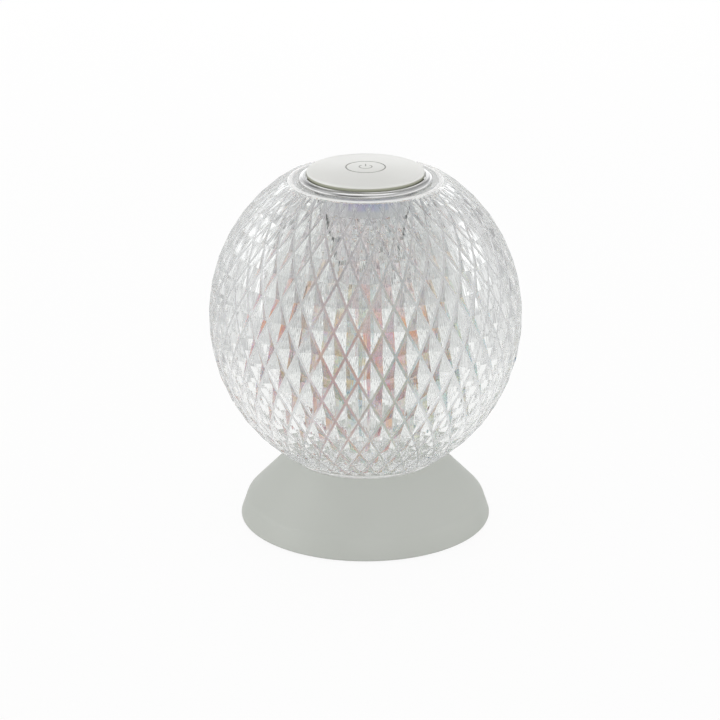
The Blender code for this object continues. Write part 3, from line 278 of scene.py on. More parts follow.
def turned(name, corners, material, steps=5, smooth_deg=30.0):
    """An object turned from a closed profile."""
    shape = bmesh.new()
    lathe(shape, outline(corners, steps=steps), NECK_SEGMENTS)
    return finish_mesh(name, shape, material, smooth_deg=smooth_deg)


ACRYLIC_IOR = 1.49


def grey(level):
    return (level, level, level)


def grained(name, low, high, roughness, grain=900.0, bump=0.25, patch=18.0, metallic=0.0):
    """A moulded or metal surface: two close colours in soft patches, and a fine grain."""
    nodes = Nodes(name)
    patches = nodes.noise(patch, detail=2.0)
    fine = nodes.noise(grain, detail=2.0, rough=0.6)
    nodes.set(
        Base_Color=nodes.shades(patches, low, high),
        Metallic=metallic,
        Roughness=nodes.to_range(fine, *roughness),
    )
    nodes.bump(fine, bump, distance=0.00005)
    return nodes.material


def crystal(name, colour, roughness=0.0):
    """Clear acrylic, with a trace of moulding ripple."""
    nodes = Nodes(name)
    nodes.set(Base_Color=(*colour, 1.0), Roughness=roughness, IOR=ACRYLIC_IOR)
    nodes.set(Transmission_Weight=1.0)
    nodes.bump(nodes.noise(40.0, detail=1.0, rough=0.4), strength=0.01, distance=0.0002)
    return nodes.material


def frosted(name, colour, roughness, clear):
    """Milky acrylic, of which the share called clear passes the light on."""
    nodes = Nodes(name)
    nodes.set(Roughness=roughness, IOR=ACRYLIC_IOR, Transmission_Weight=clear)
    shade = nodes.noise(300.0, detail=2.0)
    darker = tuple(0.95 * c for c in colour)
    nodes.set(Base_Color=nodes.shades(shade, darker, colour))
    nodes.bump(shade, strength=0.15, distance=0.00003)
    return nodes.material


# The film's colours in its patches, from the left to the right of the tube, and at its upper edge
FILM_PATCHES = (
    (0.375, (0.90, 0.72, 0.48)),
    (0.41, (0.82, 0.66, 0.72)),
    (0.44, (0.93, 0.91, 0.90)),
    (0.465, (0.96, 0.96, 0.94)),
    (0.495, (0.70, 0.88, 0.76)),
    (0.52, (0.94, 0.95, 0.93)),
    (0.555, (0.76, 0.73, 0.90)),
    (0.59, (0.86, 0.82, 0.54)),
    (0.63, (0.96, 0.96, 0.92)),
)
FILM_ACROSS = (
    (0.10, (0.92, 0.70, 0.75)),
    (0.45, (0.92, 0.79, 0.83)),
    (0.60, (0.90, 0.91, 0.89)),
    (0.90, (0.83, 0.90, 0.92)),
)
FILM_FRINGE = (
    (0.26, (0.96, 0.96, 0.97)),
    (0.36, (0.84, 0.79, 0.95)),
    (0.48, (0.76, 0.70, 0.94)),
    (0.60, (0.70, 0.80, 0.96)),
    (0.70, (0.84, 0.82, 0.96)),
    (0.80, (0.96, 0.96, 0.97)),
)
FILM_CLEAR = (0.97, 0.97, 0.98, 1.0)


def iridescent_film():
    """The tube's clear wall with a dichroic film: near neutral above, and tinted patches below."""
    nodes = Nodes("iridescent_film")
    nodes.set(Roughness=0.02, IOR=1.12, Transmission_Weight=1.0)
    place = nodes.add("Mapping", Vector=nodes.position(), Scale=(1.0, 1.0, 0.55))
    patches = nodes.noise(120.0, detail=2.0, rough=0.5, vector=place.outputs["Vector"])
    axes = nodes.axes()
    across = nodes.to_range(axes["X"], 0.0, 1.0, at_low=-0.020, at_high=0.020)
    tint = nodes.mix(
        1.0,
        nodes.ramp(patches, FILM_PATCHES),
        nodes.ramp(across, FILM_ACROSS),
        blend_type="MULTIPLY",
    )
    tinted = nodes.to_range(axes["Z"], 1.0, 0.12, at_low=0.060, at_high=0.105)
    at_edge = nodes.to_range(axes["Z"], 0.0, 1.0, at_low=0.1298, at_high=0.1310)
    body = nodes.mix(tinted, FILM_CLEAR, tint)
    nodes.set(Base_Color=nodes.mix(at_edge, body, nodes.ramp(across, FILM_FRINGE)))
    # In nanometres, and thinning out upwards
    thickness = nodes.to_range(patches, 180.0, 420.0, at_low=0.25, at_high=0.75)
    lower = nodes.to_range(axes["Z"], 1.0, 0.05, at_low=0.075, at_high=0.095)
    nodes.set(Thin_Film_Thickness=nodes.calculate("MULTIPLY", thickness, lower))
    nodes.set(Thin_Film_IOR=1.38)
    return nodes.material


def chrome():
    """Polished plating, with a faint haze."""
    nodes = Nodes("polished_chrome")
    nodes.set(Base_Color=(0.76, 0.76, 0.755, 1.0), Metallic=1.0)
    nodes.set(Roughness=nodes.to_range(nodes.noise(700.0, detail=2.0), 0.11, 0.17))
    return nodes.material


def cap_plastic():
    """Off-white satin plastic, with a painted olive shadow low on its rim, where it overhangs the
    ring.
    """
    nodes = Nodes("cap_plastic")
    patches = nodes.noise(40.0, detail=2.0)
    top = nodes.shades(patches, (0.77, 0.77, 0.735), (0.80, 0.80, 0.77), spread=0.3)
    # Painted shadow: the rim's lowest part turns olive-dark, standing in for the shade under its
    # edge
    rim_shade_low, rim_shade_high = (CAP_RIM_LOW + 1.0) * MM, (CAP_RIM_LOW + 1.4) * MM
    in_rim_shade = nodes.to_range(nodes.axes()["Z"], 1.0, 0.0, rim_shade_low, rim_shade_high)
    olive_shade = (0.36, 0.37, 0.28, 1.0)
    grain = nodes.noise(1100.0, detail=2.0)
    nodes.set(
        Base_Color=nodes.mix(in_rim_shade, top, olive_shade),
        Coat_Weight=0.25,
        Coat_Roughness=0.15,
        Roughness=nodes.to_range(grain, 0.30, 0.42),
    )
    nodes.bump(grain, strength=0.12, distance=0.00004)
    return nodes.material


def engraved():
    """The grey ink of the cap's thin ring and symbol."""
    nodes = Nodes("engraved_line")
    shade = nodes.noise(500.0, detail=2.0)
    nodes.set(Base_Color=nodes.shades(shade, (0.30, 0.30, 0.27), (0.36, 0.36, 0.33)))
    nodes.set(Roughness=0.5)
    return nodes.material


def lead_sleeve():
    """Black sleeve, and a pale one over the lead's upper half, behind the clear tube."""
    nodes = Nodes("lead_sleeve")
    fine = nodes.noise(900.0, detail=2.0)
    upper = nodes.to_range(nodes.axes()["Z"], 0.0, 1.0, at_low=0.072, at_high=0.0725)
    black = nodes.shades(fine, grey(0.045), grey(0.06))
    pale = nodes.shades(fine, grey(0.66), grey(0.70))
    nodes.set(Base_Color=nodes.mix(upper, black, pale))
    nodes.set(Roughness=nodes.to_range(fine, 0.4, 0.5))
    return nodes.material


def circuit_board(name, low, high):
    """Lacquer over faint square tracks."""
    nodes = Nodes(name)
    tracks = nodes.add(
        "TexBrick",
        Scale=260.0,
        Vector=nodes.position(),
        Color1=(*low, 1.0),
        Color2=(*high, 1.0),
        Mortar=(*(0.6 * c for c in low), 1.0),
    )
    nodes.set(Base_Color=tracks.outputs["Color"], Roughness=0.35, Coat_Weight=0.4)
    return nodes.material


METAL = {"bump": 0.1, "patch": 60.0, "metallic": 1.0}
MATERIALS = {
    "shell": grained(
        "shell_paint",
        (0.47, 0.488, 0.453),
        (0.50, 0.517, 0.482),
        (0.48, 0.62),
        grain=1500.0,
        bump=0.22,
    ),
    "cover": grained("cover_plastic", (0.36, 0.37, 0.35), (0.40, 0.41, 0.39), (0.5, 0.65)),
    "deck_white": grained("deck_white", (0.86, 0.86, 0.85), (0.89, 0.89, 0.88), (0.3, 0.45)),
    "neck_grey": grained("neck_grey", (0.50, 0.51, 0.52), (0.54, 0.55, 0.56), (0.4, 0.5)),
    "silicone": grained(
        "silicone", (0.52, 0.52, 0.50), (0.57, 0.57, 0.55), (0.6, 0.75), grain=1400.0, bump=0.3
    ),
    "steel": grained(
        "zinc_steel", (0.50, 0.50, 0.51), (0.58, 0.58, 0.59), (0.25, 0.4), grain=1200.0, **METAL
    ),
    "aluminium": grained(
        "aluminium", (0.68, 0.69, 0.70), (0.74, 0.75, 0.76), (0.25, 0.4), **METAL
    ),
    "inner_plastic": grained("inner_plastic", (0.72, 0.72, 0.70), (0.76, 0.76, 0.74), (0.4, 0.55)),
    "cell_wrap": grained(
        "cell_wrap",
        (0.52, 0.53, 0.56),
        (0.60, 0.61, 0.64),
        (0.2, 0.4),
        grain=300.0,
        bump=0.4,
        patch=60.0,
        metallic=0.8,
    ),
    "board_green": circuit_board("board_green", (0.02, 0.16, 0.06), (0.03, 0.20, 0.08)),
    "board_white": circuit_board("board_white", (0.82, 0.82, 0.80), (0.86, 0.86, 0.84)),
    "black_plastic": grained("black_plastic", grey(0.018), grey(0.026), (0.35, 0.5)),
    "frosted": frosted("frosted_dome", (0.92, 0.92, 0.90), 0.35, clear=0.15),
    "film_tube": iridescent_film(),
    "crystal": crystal("crystal_acrylic", (0.94, 0.95, 0.94)),
    "polished_ring": chrome(),
    "cap_plastic": cap_plastic(),
    "lead_sleeve": lead_sleeve(),
}
ENGRAVED = engraved()
# The bead is near-white milky acrylic: a painted highlight for the bright edge round the globe's
# top
BEAD_HIGHLIGHT_GLASS = frosted("bead_painted_highlight", (0.97, 0.97, 0.96), 0.25, clear=0.1)
# The land is grey-tinted acrylic: painted shade for the grey seen through the flat top
LAND_SHADE_GLASS = frosted("land_painted_shade", (0.66, 0.67, 0.66), 0.2, clear=0.75)
RIB_GLASS = crystal("rib_acrylic", (0.80, 0.80, 0.81), roughness=0.3)

slots = {part["node"]: part["material_slot"] for part in frame["record"]["subparts"]}
slots["globe_gasket"], slots["switch_carrier"] = "deck_white", "neck_grey"
for node, obj in frame["nodes"].items():
    obj.data.materials.clear()
    obj.data.materials.append(MATERIALS[slots[node]])


def net_point(column, row, sunk=False):
    """A corner of the diamond net, on the globe's own outline unless it is sunk."""
    latitude = math.radians(ROW_DEG * (row + 0.5))
    share = 1.0
    if sunk:
        share -= PIT_DEPTH * math.cos(latitude) ** 2 / GLOBE_RADIUS
    angle = PHASE + TAU * column / COLUMNS
    height = CENTRE_Z + GLOBE_HALF * math.sin(latitude) * share
    return Vector(on_circle(GLOBE_RADIUS * math.cos(latitude) * share, angle, height))


def net_cut(shape, band):
    """The cut skin: sunk diamonds with four facets each, and flat ribs between them.

    The lowest row of ribs runs out at the band, a ring of BAND_POINTS points to a column.
    """
    ways = {"right": (1, 0), "up": (0, 1), "left": (-1, 0), "down": (0, -1)}
    places = [(c, r) for r in range(LOWEST_ROW, HIGHEST_ROW + 1) for c in range(COLUMNS)]
    pits = {
        (column, row): shape.verts.new(net_point(column, row, sunk=True))
        for column, row in places
        if (column + row) % 2
    }
    crossings = {}
    for column, row in places:
        if (column + row) % 2:
            continue
        here = net_point(column, row)
        crossings[column, row] = {
            way: shape.verts.new(here.lerp(net_point(column + dx, row + dy), RIB_SHARE))
            for way, (dx, dy) in ways.items()
        }
        if row == LOWEST_ROW:
            below = here.lerp(band[BAND_POINTS * column].co, RIB_SHARE)
            crossings[column, row]["down"].co = below

    def corner(column, row, way):
        found = crossings.get((column % COLUMNS, row))
        return found and found[way]

    def face(corners, material=0):
        if all(corners):
            shape.faces.new(corners).material_index = material

    for (column, row), pit in pits.items():
        around = [
            corner(column - 1, row, "right"),
            corner(column, row + 1, "down"),
            corner(column + 1, row, "left"),
            corner(column, row - 1, "up"),
        ]
        for a, b in zip(around, around[1:] + around[:1]):
            face((pit, a, b))
        if row == LOWEST_ROW:
            below = band[BAND_POINTS * column]
            face((pit, around[2], below))
            face((pit, below, around[0]))
    for (column, row), own in crossings.items():
        face((own["right"], own["up"], own["left"], own["down"]), RIB)
        for side, step in (("right", 1), ("left", -1)):
            other_side = "left" if side == "right" else "right"
            far = (column + step, row + 1)
            rib = (own[side], corner(*far, "down"), corner(*far, other_side), own["up"])
            face(rib, RIB)
        if row == LOWEST_ROW:
            for side, step in (("right", 1), ("left", -1)):
                face((own[side], own["down"], band[BAND_POINTS * (column + step) % SEGMENTS]), RIB)
                for i in range(BAND_POINTS):
                    start = BAND_POINTS * column + step * i
                    a, b = band[start % SEGMENTS], band[(start + step) % SEGMENTS]
                    face((own["down"], a, b))


def circle(shape, radius, height, count=SEGMENTS, flute_depth=0.0):
    """Vertices round the lamp's axis, from the net's first column on."""
    verts = []
    for i in range(count):
        out = flute_depth * (1 - math.cos(TAU * i / FLUTE_SIDES))
        verts.append(shape.verts.new(on_circle(radius + out, PHASE + TAU * i / count, height)))
    return verts


def strip_of(shape, first, second, material=0):
    """Faces between two rings of as many vertices."""
    for i in range(len(first)):
        j = (i + 1) % len(first)
        shape.faces.new((first[i], second[i], second[j], first[j])).material_index = material


def close_top(shape):
    """Cuts the skin off flat, and closes it in to the bore with its bead and its land."""
    land_inset, bore_gap = 0.2, 0.05
    bmesh.ops.bisect_plane(
        shape,
        geom=shape.verts[:] + shape.edges[:] + shape.faces[:],
        dist=1e-4,
        plane_co=(0, 0, TOP_Z),
        plane_no=(0, 0, 1),
        clear_outer=True,
    )
    cut_edges = [
        edge
        for edge in shape.edges
        if edge.is_boundary and all(abs(vert.co.z - TOP_Z) < 1e-3 for vert in edge.verts)
    ]
    above = circle(shape, BEAD_OUT, TOP_Z)
    bead_edges = [shape.edges.new((above[i - 1], above[i])) for i in range(SEGMENTS)]
    bmesh.ops.triangle_fill(shape, use_beauty=True, edges=cut_edges + bead_edges, normal=(0, 0, 1))
    half = (BEAD_OUT - BEAD_IN) / 2
    steps = 6
    for i in range(1, steps + 1):
        angle = math.pi * i / steps
        radius, height = BEAD_IN + half + half * math.cos(angle), BEAD_RISE * math.sin(angle)
        ring = circle(shape, radius, TOP_Z + height)
        strip_of(shape, above, ring, BEAD)
        above = ring
    for radius in (RING_RADIUS - land_inset, TOP_BORE + bore_gap):
        ring = circle(shape, radius, TOP_Z)
        strip_of(shape, above, ring, LAND)
        above = ring
    return above


def close_foot(shape, band):
    """The plain skin from the band down, and the flat foot in to its bore."""
    bore_gap = 0.3
    above = band
    steps = 6
    for i in range(1, steps + 1):
        latitude = BAND_LATITUDE + (FOOT_LATITUDE - BAND_LATITUDE) * i / steps
        height = CENTRE_Z + GLOBE_HALF * math.sin(latitude)
        ring = circle(shape, GLOBE_RADIUS * math.cos(latitude), height)
        strip_of(shape, above, ring)
        above = ring
    foot = circle(shape, FOOT_BORE + bore_gap, FOOT_Z)
    strip_of(shape, above, foot)
    return foot


def flute_inside(shape, foot, top):
    """The inner wall's fine upright flutes from throat to neck, which fade out at both ends."""
    count = FLUTE_SIDES * SEGMENTS
    rings = []
    steps = 26
    for step in range(steps + 1):
        latitude = THROAT_LATITUDE + (NECK_LATITUDE - THROAT_LATITUDE) * step / steps
        depth = FLUTE_DEPTH * min(1.0, 4.0 * step / steps, 4.0 * (steps - step) / steps)
        radius = INNER_RADIUS * math.cos(latitude)
        height = CENTRE_Z + INNER_HALF * math.sin(latitude)
        rings.append(circle(shape, radius, height, count, depth))
    for lower, upper in zip(rings, rings[1:]):
        strip_of(shape, lower, upper)
    for plain, fluted in ((foot, rings[0]), (top, rings[-1])):
        for i in range(SEGMENTS):
            fan = [fluted[(FLUTE_SIDES * i + k) % count] for k in range(FLUTE_SIDES + 1)]
            for a, b in zip(fan, fan[1:]):
                shape.faces.new((plain[i], a, b))
            shape.faces.new((plain[i], fan[-1], plain[(i + 1) % SEGMENTS]))


def make_globe():
    shape = bmesh.new()
    band_z = CENTRE_Z + GLOBE_HALF * math.sin(BAND_LATITUDE)
    band = circle(shape, GLOBE_RADIUS * math.cos(BAND_LATITUDE), band_z)
    net_cut(shape, band)
    top = close_top(shape)
    foot = close_foot(shape, band)
    flute_inside(shape, foot, top)
    bmesh.ops.remove_doubles(shape, verts=shape.verts, dist=1e-5)
    skins = (MATERIALS["crystal"], BEAD_HIGHLIGHT_GLASS, LAND_SHADE_GLASS, RIB_GLASS)
    globe = finish_mesh("globe", shape, *skins, smooth_deg=40.0)
    # The facets and the ribs are flat. The fluted inside, the bead and the foot are smooth.
    skin_share, margin = 0.92, 0.01
    for face in globe.data.polygons:
        x, y, z = (c / MM for c in face.center)
        depth = (x * x + y * y) / GLOBE_RADIUS**2 + ((z - CENTRE_Z) / GLOBE_HALF) ** 2
        between = band_z - margin < z < TOP_Z - margin
        if depth > skin_share and between and face.material_index != BEAD:
            face.use_smooth = False
    let_light_through(globe)
    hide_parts("globe_shell")
    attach(globe, "lamp")


def make_ring():
    floor_top, floor_bottom = RING_BOTTOM + 0.4, RING_BOTTOM - 3.5
    floor_bore = 19.6
    spigot_radius, spigot_z = 23.3, RING_BOTTOM - 2.5
    sleeve_in, sleeve_out, sleeve_z = 20.4, 21.1, RING_BOTTOM - 7.76
    lip_fillet = 0.14
    profile = [
        (floor_bore, floor_top),
        (LIP_IN, floor_top, 0.15),
        (LIP_IN, LIP_Z, lip_fillet),
        (LIP_OUT, LIP_Z, lip_fillet),
    ]
    # A hollow slope from just under the lip out to the ring's edge
    edge_z = RING_BOTTOM + 0.35
    rise = LIP_Z - 0.25 - edge_z
    steps = 12
    for i in range(steps + 1):
        angle = math.pi / 2 * (1 - i / steps)
        inwards = 0.96 * (RING_RADIUS - LIP_OUT) * (1 - math.cos(angle))
        profile.append((RING_RADIUS - inwards, edge_z + rise * math.sin(angle)))
    profile += [
        (RING_RADIUS, RING_BOTTOM, 0.1),
        (spigot_radius, RING_BOTTOM),
        (spigot_radius, spigot_z),
        (sleeve_out, spigot_z),
        (sleeve_out, sleeve_z),
        (sleeve_in, sleeve_z),
        (sleeve_in, floor_bottom),
        (floor_bore, floor_bottom),
    ]
    ring = turned("neck_ring", profile, MATERIALS["polished_ring"], smooth_deg=38.0)
    # Below the polish it is plain grey
    ring.data.materials.append(MATERIALS["neck_grey"])
    for face in ring.data.polygons:
        if face.center.z / MM < RING_BOTTOM - 0.2:
            face.material_index = 1
    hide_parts("top_ring")
    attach(ring, "lamp")


def cap_height(radius):
    """The dome's height at a radius, short of the rim's fillet."""
    return CAP_APEX - CAP_DOME * (radius / CAP_RADIUS) ** 2


def make_cap():
    """The domed cap, with a fine inked groove round its symbol and a skirt inside the ring."""
    groove, groove_half, groove_depth, groove_side = 7.43, 0.2, 0.22, 0.05
    groove_in, groove_out = groove - groove_half, groove + groove_half
    groove_z = cap_height(groove) - groove_depth
    inner_dome = (0.0, 1.0, 2.0, 3.2, 4.6, 6.0, groove_in - groove_side)
    outer_dome = (9.0, 11.0, 13.0, 15.0, 17.0, 19.0, 20.6)
    points = [(radius, cap_height(radius)) for radius in inner_dome]
    points += [(groove_in, groove_z), (groove_out, groove_z)]
    points.append((groove_out + groove_side, cap_height(groove)))
    points += [(radius, cap_height(radius)) for radius in outer_dome]
    skirt_out, skirt_in = 19.3, 17.9
    catch_out, catch_end = 20.1, 19.7
    catch_z, skirt_z = RING_BOTTOM - 3.8, RING_BOTTOM - 5.5
    roof_z = CAP_APEX - 0.65 - 1.8
    pip_radius, pip_z = 2.5, 134.56
    rim = [
        points[-1],
        (CAP_RADIUS, cap_height(CAP_RADIUS), 0.75),
        (CAP_RADIUS, CAP_RIM_LOW, 0.3),
        (skirt_out, CAP_RIM_LOW),
    ]
    points += outline(rim, closed=False, steps=8)[1:]
    points += [
        (skirt_out, catch_z),
        (catch_out, catch_z),
        (catch_end, skirt_z),
        (skirt_in, skirt_z),
        (skirt_in, roof_z),
        (pip_radius, roof_z),
        (pip_radius, pip_z),
        (0.0, pip_z),
    ]
    shape = bmesh.new()
    lathe(shape, points, NECK_SEGMENTS, closed=False)
    cap = finish_mesh("cap", shape, MATERIALS["cap_plastic"], ENGRAVED, smooth_deg=35.0)
    for face in cap.data.polygons:
        radius = math.hypot(face.center.x, face.center.y) / MM
        in_groove = abs(radius - groove) < groove_half + groove_side
        if in_groove and face.center.z / MM > CAP_RIM_TOP:
            face.material_index = 1
    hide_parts("push_cap")
    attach(cap, "cap")


def inlaid_strip(shape, path, width=0.46, lift=0.02, sunk=0.05):
    """A thin closed strip that follows a path of (x, y) points over the cap's dome."""
    sides = []
    for i, point in enumerate(path):
        before, after = path[max(i - 1, 0)], path[min(i + 1, len(path) - 1)]
        along = (Vector(after) - Vector(before)).normalized()
        across = Vector((-along.y, along.x)) * width / 2
        for sign in (-1, 1):
            place = Vector(point) + sign * across
            sides.append((place.x, place.y, cap_height(place.length)))
    top = [shape.verts.new((x, y, z + lift)) for x, y, z in sides]
    low = [shape.verts.new((x, y, z - sunk)) for x, y, z in sides]
    for a in range(0, len(sides) - 2, 2):
        b, c, d = a + 1, a + 3, a + 2
        shape.faces.new((top[a], top[b], top[c], top[d]))
        shape.faces.new((low[d], low[c], low[b], low[a]))
        shape.faces.new((top[a], top[d], low[d], low[a]))
        shape.faces.new((top[b], low[b], low[c], top[c]))
    shape.faces.new((top[0], low[0], low[1], top[1]))
    shape.faces.new((top[-1], low[-1], low[-2], top[-2]))


def make_symbol():
    """The power symbol: an open ring and a bar, as thin inlaid strips on the dome."""
    radius, gap, arc_steps = 2.4, math.radians(38), 40
    bar_low, bar_high, bar_steps = 0.5, 3.5, 6
    shape = bmesh.new()
    angles = (gap + (TAU - 2 * gap) * i / arc_steps for i in range(arc_steps + 1))
    inlaid_strip(shape, [(radius * math.sin(a), radius * math.cos(a)) for a in angles])
    rise = (bar_high - bar_low) / bar_steps
    inlaid_strip(shape, [(0.0, bar_low + rise * i) for i in range(bar_steps + 1)])
    symbol = finish_mesh("power_symbol", shape, ENGRAVED)
    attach(symbol, "cap")


def make_tube():
    """The tapered tube, from the base's deck to just under the globe's neck."""
    low, high = 23.0, NECK_Z - 1.29
    foot_out, top_out, wall, fillet = 19.2, 23.0, 1.6, 0.25
    corners = [
        (top_out - wall, high, fillet),
        (top_out, high, fillet),
        (foot_out, low, fillet),
        (foot_out - wall, low, fillet),
    ]
    tube = turned("film_tube", corners, MATERIALS["film_tube"], steps=4)
    let_light_through(tube)
    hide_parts("light_tube")
    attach(tube, "lamp")


def make_spring():
    """The return spring, which shortens as the cap goes down on it."""
    low, high = (corner.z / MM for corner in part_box("return_spring"))
    turns, coil_radius, wire_radius, sides, steps_a_turn = 3.5, 9.0, 0.4, 10, 28
    steps = round(turns * steps_a_turn)
    shape = bmesh.new()
    rings = []
    for step in range(steps + 1):
        angle = TAU * step / steps_a_turn
        z = low + wire_radius + (high - low - 2 * wire_radius) * step / steps
        ring = []
        for side in range(sides):
            turn = TAU * side / sides
            radius = coil_radius + wire_radius * math.cos(turn)
            x, y = radius * math.cos(angle), radius * math.sin(angle)
            ring.append(shape.verts.new((x, y, z + wire_radius * math.sin(turn))))
        rings.append(ring)
    for lower, upper in zip(rings, rings[1:]):
        strip_of(shape, upper, lower)
    shape.faces.new(rings[0])
    shape.faces.new(rings[-1])
    spring = finish_mesh("spring_coil", shape, MATERIALS["steel"], smooth_deg=50.0)
    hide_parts("return_spring")
    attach(spring, "lamp")
    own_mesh(spring)


def base_profile():
    """Half of the housing's section, from the middle of its deck out and back under it."""
    deck_z, spigot_in, spigot_out, spigot_z = 22.7, 15.5, 17.3, 27.0
    seat_gap = 0.4
    seat_foot = FOOT_RADIUS + seat_gap
    corners = [
        (0.0, deck_z),
        (spigot_in, deck_z),
        (spigot_in, spigot_z, 0.3),
        (spigot_out, spigot_z, 0.3),
        (spigot_out, deck_z),
        (seat_foot, deck_z),
    ]
    # The seat follows the globe's skin up to the housing's rim
    rim_latitude = -math.acos((FOOT_RADIUS + 4.5) / GLOBE_RADIUS)
    steps = 6
    for i in range(steps + 1):
        latitude = FOOT_LATITUDE + (rim_latitude - FOOT_LATITUDE) * i / steps
        x, z = GLOBE_RADIUS * math.cos(latitude), GLOBE_HALF * math.sin(latitude)
        gap = Vector((x / GLOBE_RADIUS**2, z / GLOBE_HALF**2)).normalized() * seat_gap
        corners.append((max(x + gap.x, seat_foot), CENTRE_Z + z + gap.y))
    skirt_in, skirt_z, roof_z = 45.85, 0.4, 20.5
    corners += [
        (29.197, 25.946, 0.3),
        (46.2, 8.2, 5.0),
        (48.85, skirt_z, 0.6),
        (skirt_in, skirt_z),
        (skirt_in, 3.2),
        (45.6, 5.2),
        (44.0, 7.6),
        (30.6, roof_z),
        (0.0, roof_z),
    ]
    return outline(corners, closed=False, steps=10)


def cut_out(obj, cutters):
    """Cuts closed pieces out of an object, and removes them."""
    for cutter in cutters:
        modifier = obj.modifiers.new(cutter.name, "BOOLEAN")
        modifier.operation = "DIFFERENCE"
        modifier.solver = "EXACT"
        modifier.object = cutter
    bpy.context.view_layer.update()
    graph = bpy.context.evaluated_depsgraph_get()
    cut = bpy.data.meshes.new_from_object(obj.evaluated_get(graph))
    obj.modifiers.clear()
    obj.data = cut
    for cutter in cutters:
        bpy.data.objects.remove(cutter, do_unlink=True)


def charge_cutters():
    """The openings at the back: a rounded slot for the charging plug, and the light pipe's hole."""
    through, wall_y, opening_z = 12.0, 46.0, 5.25
    slot = bmesh.new()
    bmesh.ops.create_cube(slot, size=1.0)
    bmesh.ops.scale(slot, vec=(9.5, through, 3.8), verts=slot.verts)
    along = [e for e in slot.edges if abs((e.verts[0].co - e.verts[1].co).y) > 1]
    bmesh.ops.bevel(slot, geom=along, offset=1.75, segments=8, profile=0.5, affect="EDGES")
    bmesh.ops.translate(slot, vec=(0.0, wall_y, opening_z), verts=slot.verts)
    pipe_x, pipe_radius = 8.0, 1.3
    radii = {"radius1": pipe_radius, "radius2": pipe_radius}
    hole = bmesh.new()
    bmesh.ops.create_cone(hole, cap_ends=True, segments=32, depth=through, **radii)
    upright_to_y = Matrix.Rotation(math.pi / 2, 3, "X")
    bmesh.ops.rotate(hole, cent=(0, 0, 0), matrix=upright_to_y, verts=hole.verts)
    bmesh.ops.translate(hole, vec=(pipe_x, wall_y, opening_z), verts=hole.verts)
    shell = MATERIALS["shell"]
    return finish_mesh("cut_charge", slot, shell), finish_mesh("cut_pipe", hole, shell)


def make_base():
    """The turned housing with rounder edges, and its charging and indicator openings."""
    shape = bmesh.new()
    lathe(shape, base_profile(), BASE_SEGMENTS, closed=False)
    base = finish_mesh("base_housing", shape, MATERIALS["shell"], smooth_deg=28.0)
    cut_out(base, charge_cutters())
    # Unpainted white plastic inside the globe's foot
    white_radius, white_z = 28.3, 22.0
    base.data.materials.append(MATERIALS["deck_white"])
    for face in base.data.polygons:
        x, y, z = (c / MM for c in face.center)
        if math.hypot(x, y) < white_radius and z > white_z:
            face.material_index = 1
    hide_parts("base_shell")
    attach(base, "lamp")


CARD_TARGET = (0.0, 0.0, 0.1)
TENT_RADIUS, TENT_HEIGHT = 0.18, 0.45
TENT_PANELS = (
    (0.30, (0.25, 0.25, 0.26)),
    (0.38, (0.50, 0.51, 0.52)),
    (0.45, (0.90, 0.91, 0.92)),
    (0.55, (0.95, 0.95, 0.95)),
    (0.61, (0.65, 0.66, 0.67)),
    (0.69, (0.35, 0.35, 0.36)),
)
# Up the tent: a bright band at the cap's height, and a shade over it
TENT_LEVELS = (
    (0.10, grey(0.36)),
    (0.22, grey(0.40)),
    (0.28, grey(0.5)),
    (0.33, grey(0.8)),
    (0.41, grey(0.7)),
    (0.50, grey(0.18)),
)


def ray_seen(tree):
    """1 on camera, glossy and transmission rays, which see the plain backdrop."""
    path = tree.nodes.new("ShaderNodeLightPath")
    total = path.outputs["Is Camera Ray"]
    for name in ("Is Glossy Ray", "Is Transmission Ray"):
        node = tree.nodes.new("ShaderNodeMath")
        node.operation = "MAXIMUM"
        tree.links.new(total, node.inputs[0])
        tree.links.new(path.outputs[name], node.inputs[1])
        total = node.outputs[0]
    return total


def make_world():
    """White where it is seen or mirrored, and a softer grey for what it lights."""
    world = bpy.data.worlds.new("studio")
    bpy.context.scene.world = world
    world.use_nodes = True
    tree = world.node_tree
    mix = tree.nodes.new("ShaderNodeMix")
    mix.data_type = "RGBA"
    mix.inputs[6].default_value = (*grey(0.62), 1.0)
    mix.inputs[7].default_value = (*grey(1.0), 1.0)
    tree.links.new(ray_seen(tree), mix.inputs[0])
    background = tree.nodes["Background"]
    tree.links.new(mix.outputs[2], background.inputs["Color"])
    background.inputs["Strength"].default_value = 1.0


def aim(obj, place, target, track):
    """Puts an object in its place, with its track axis towards the target."""
    obj.location = place
    towards = Vector(target) - Vector(place)
    obj.rotation_euler = towards.to_track_quat(track, "Y").to_euler()


def staged(name, points, faces, material):
    """A piece of the studio, which isn't part of the lamp."""
    mesh = bpy.data.meshes.new(name)
    mesh.from_pydata(points, [], faces)
    mesh.materials.append(material)
    obj = new_object(name, mesh)
    return obj


def flat(x, y):
    """The corners of a rectangle from its half sizes."""
    return [(-x, -y, 0.0), (x, -y, 0.0), (x, y, 0.0), (-x, y, 0.0)]


def mirrored_only(obj):
    """Seen in glass and metal, and neither by the camera nor in the light."""
    obj.visible_camera = obj.visible_diffuse = obj.visible_shadow = False


def card(name, place, size, low, high):
    """A studio card outside the view, in soft patches of two greys."""
    nodes = Nodes(name)
    shade = nodes.noise(2.0, detail=1.0, rough=0.4)
    colour = nodes.shades(shade, grey(low), grey(high), spread=0.16)
    nodes.surface(nodes.add("Emission", Strength=1.0, Color=colour).outputs[0])
    obj = staged(name, flat(size[0] / 2, size[1] / 2), [(0, 1, 2, 3)], nodes.material)
    aim(obj, place, CARD_TARGET, "Z")
    mirrored_only(obj)


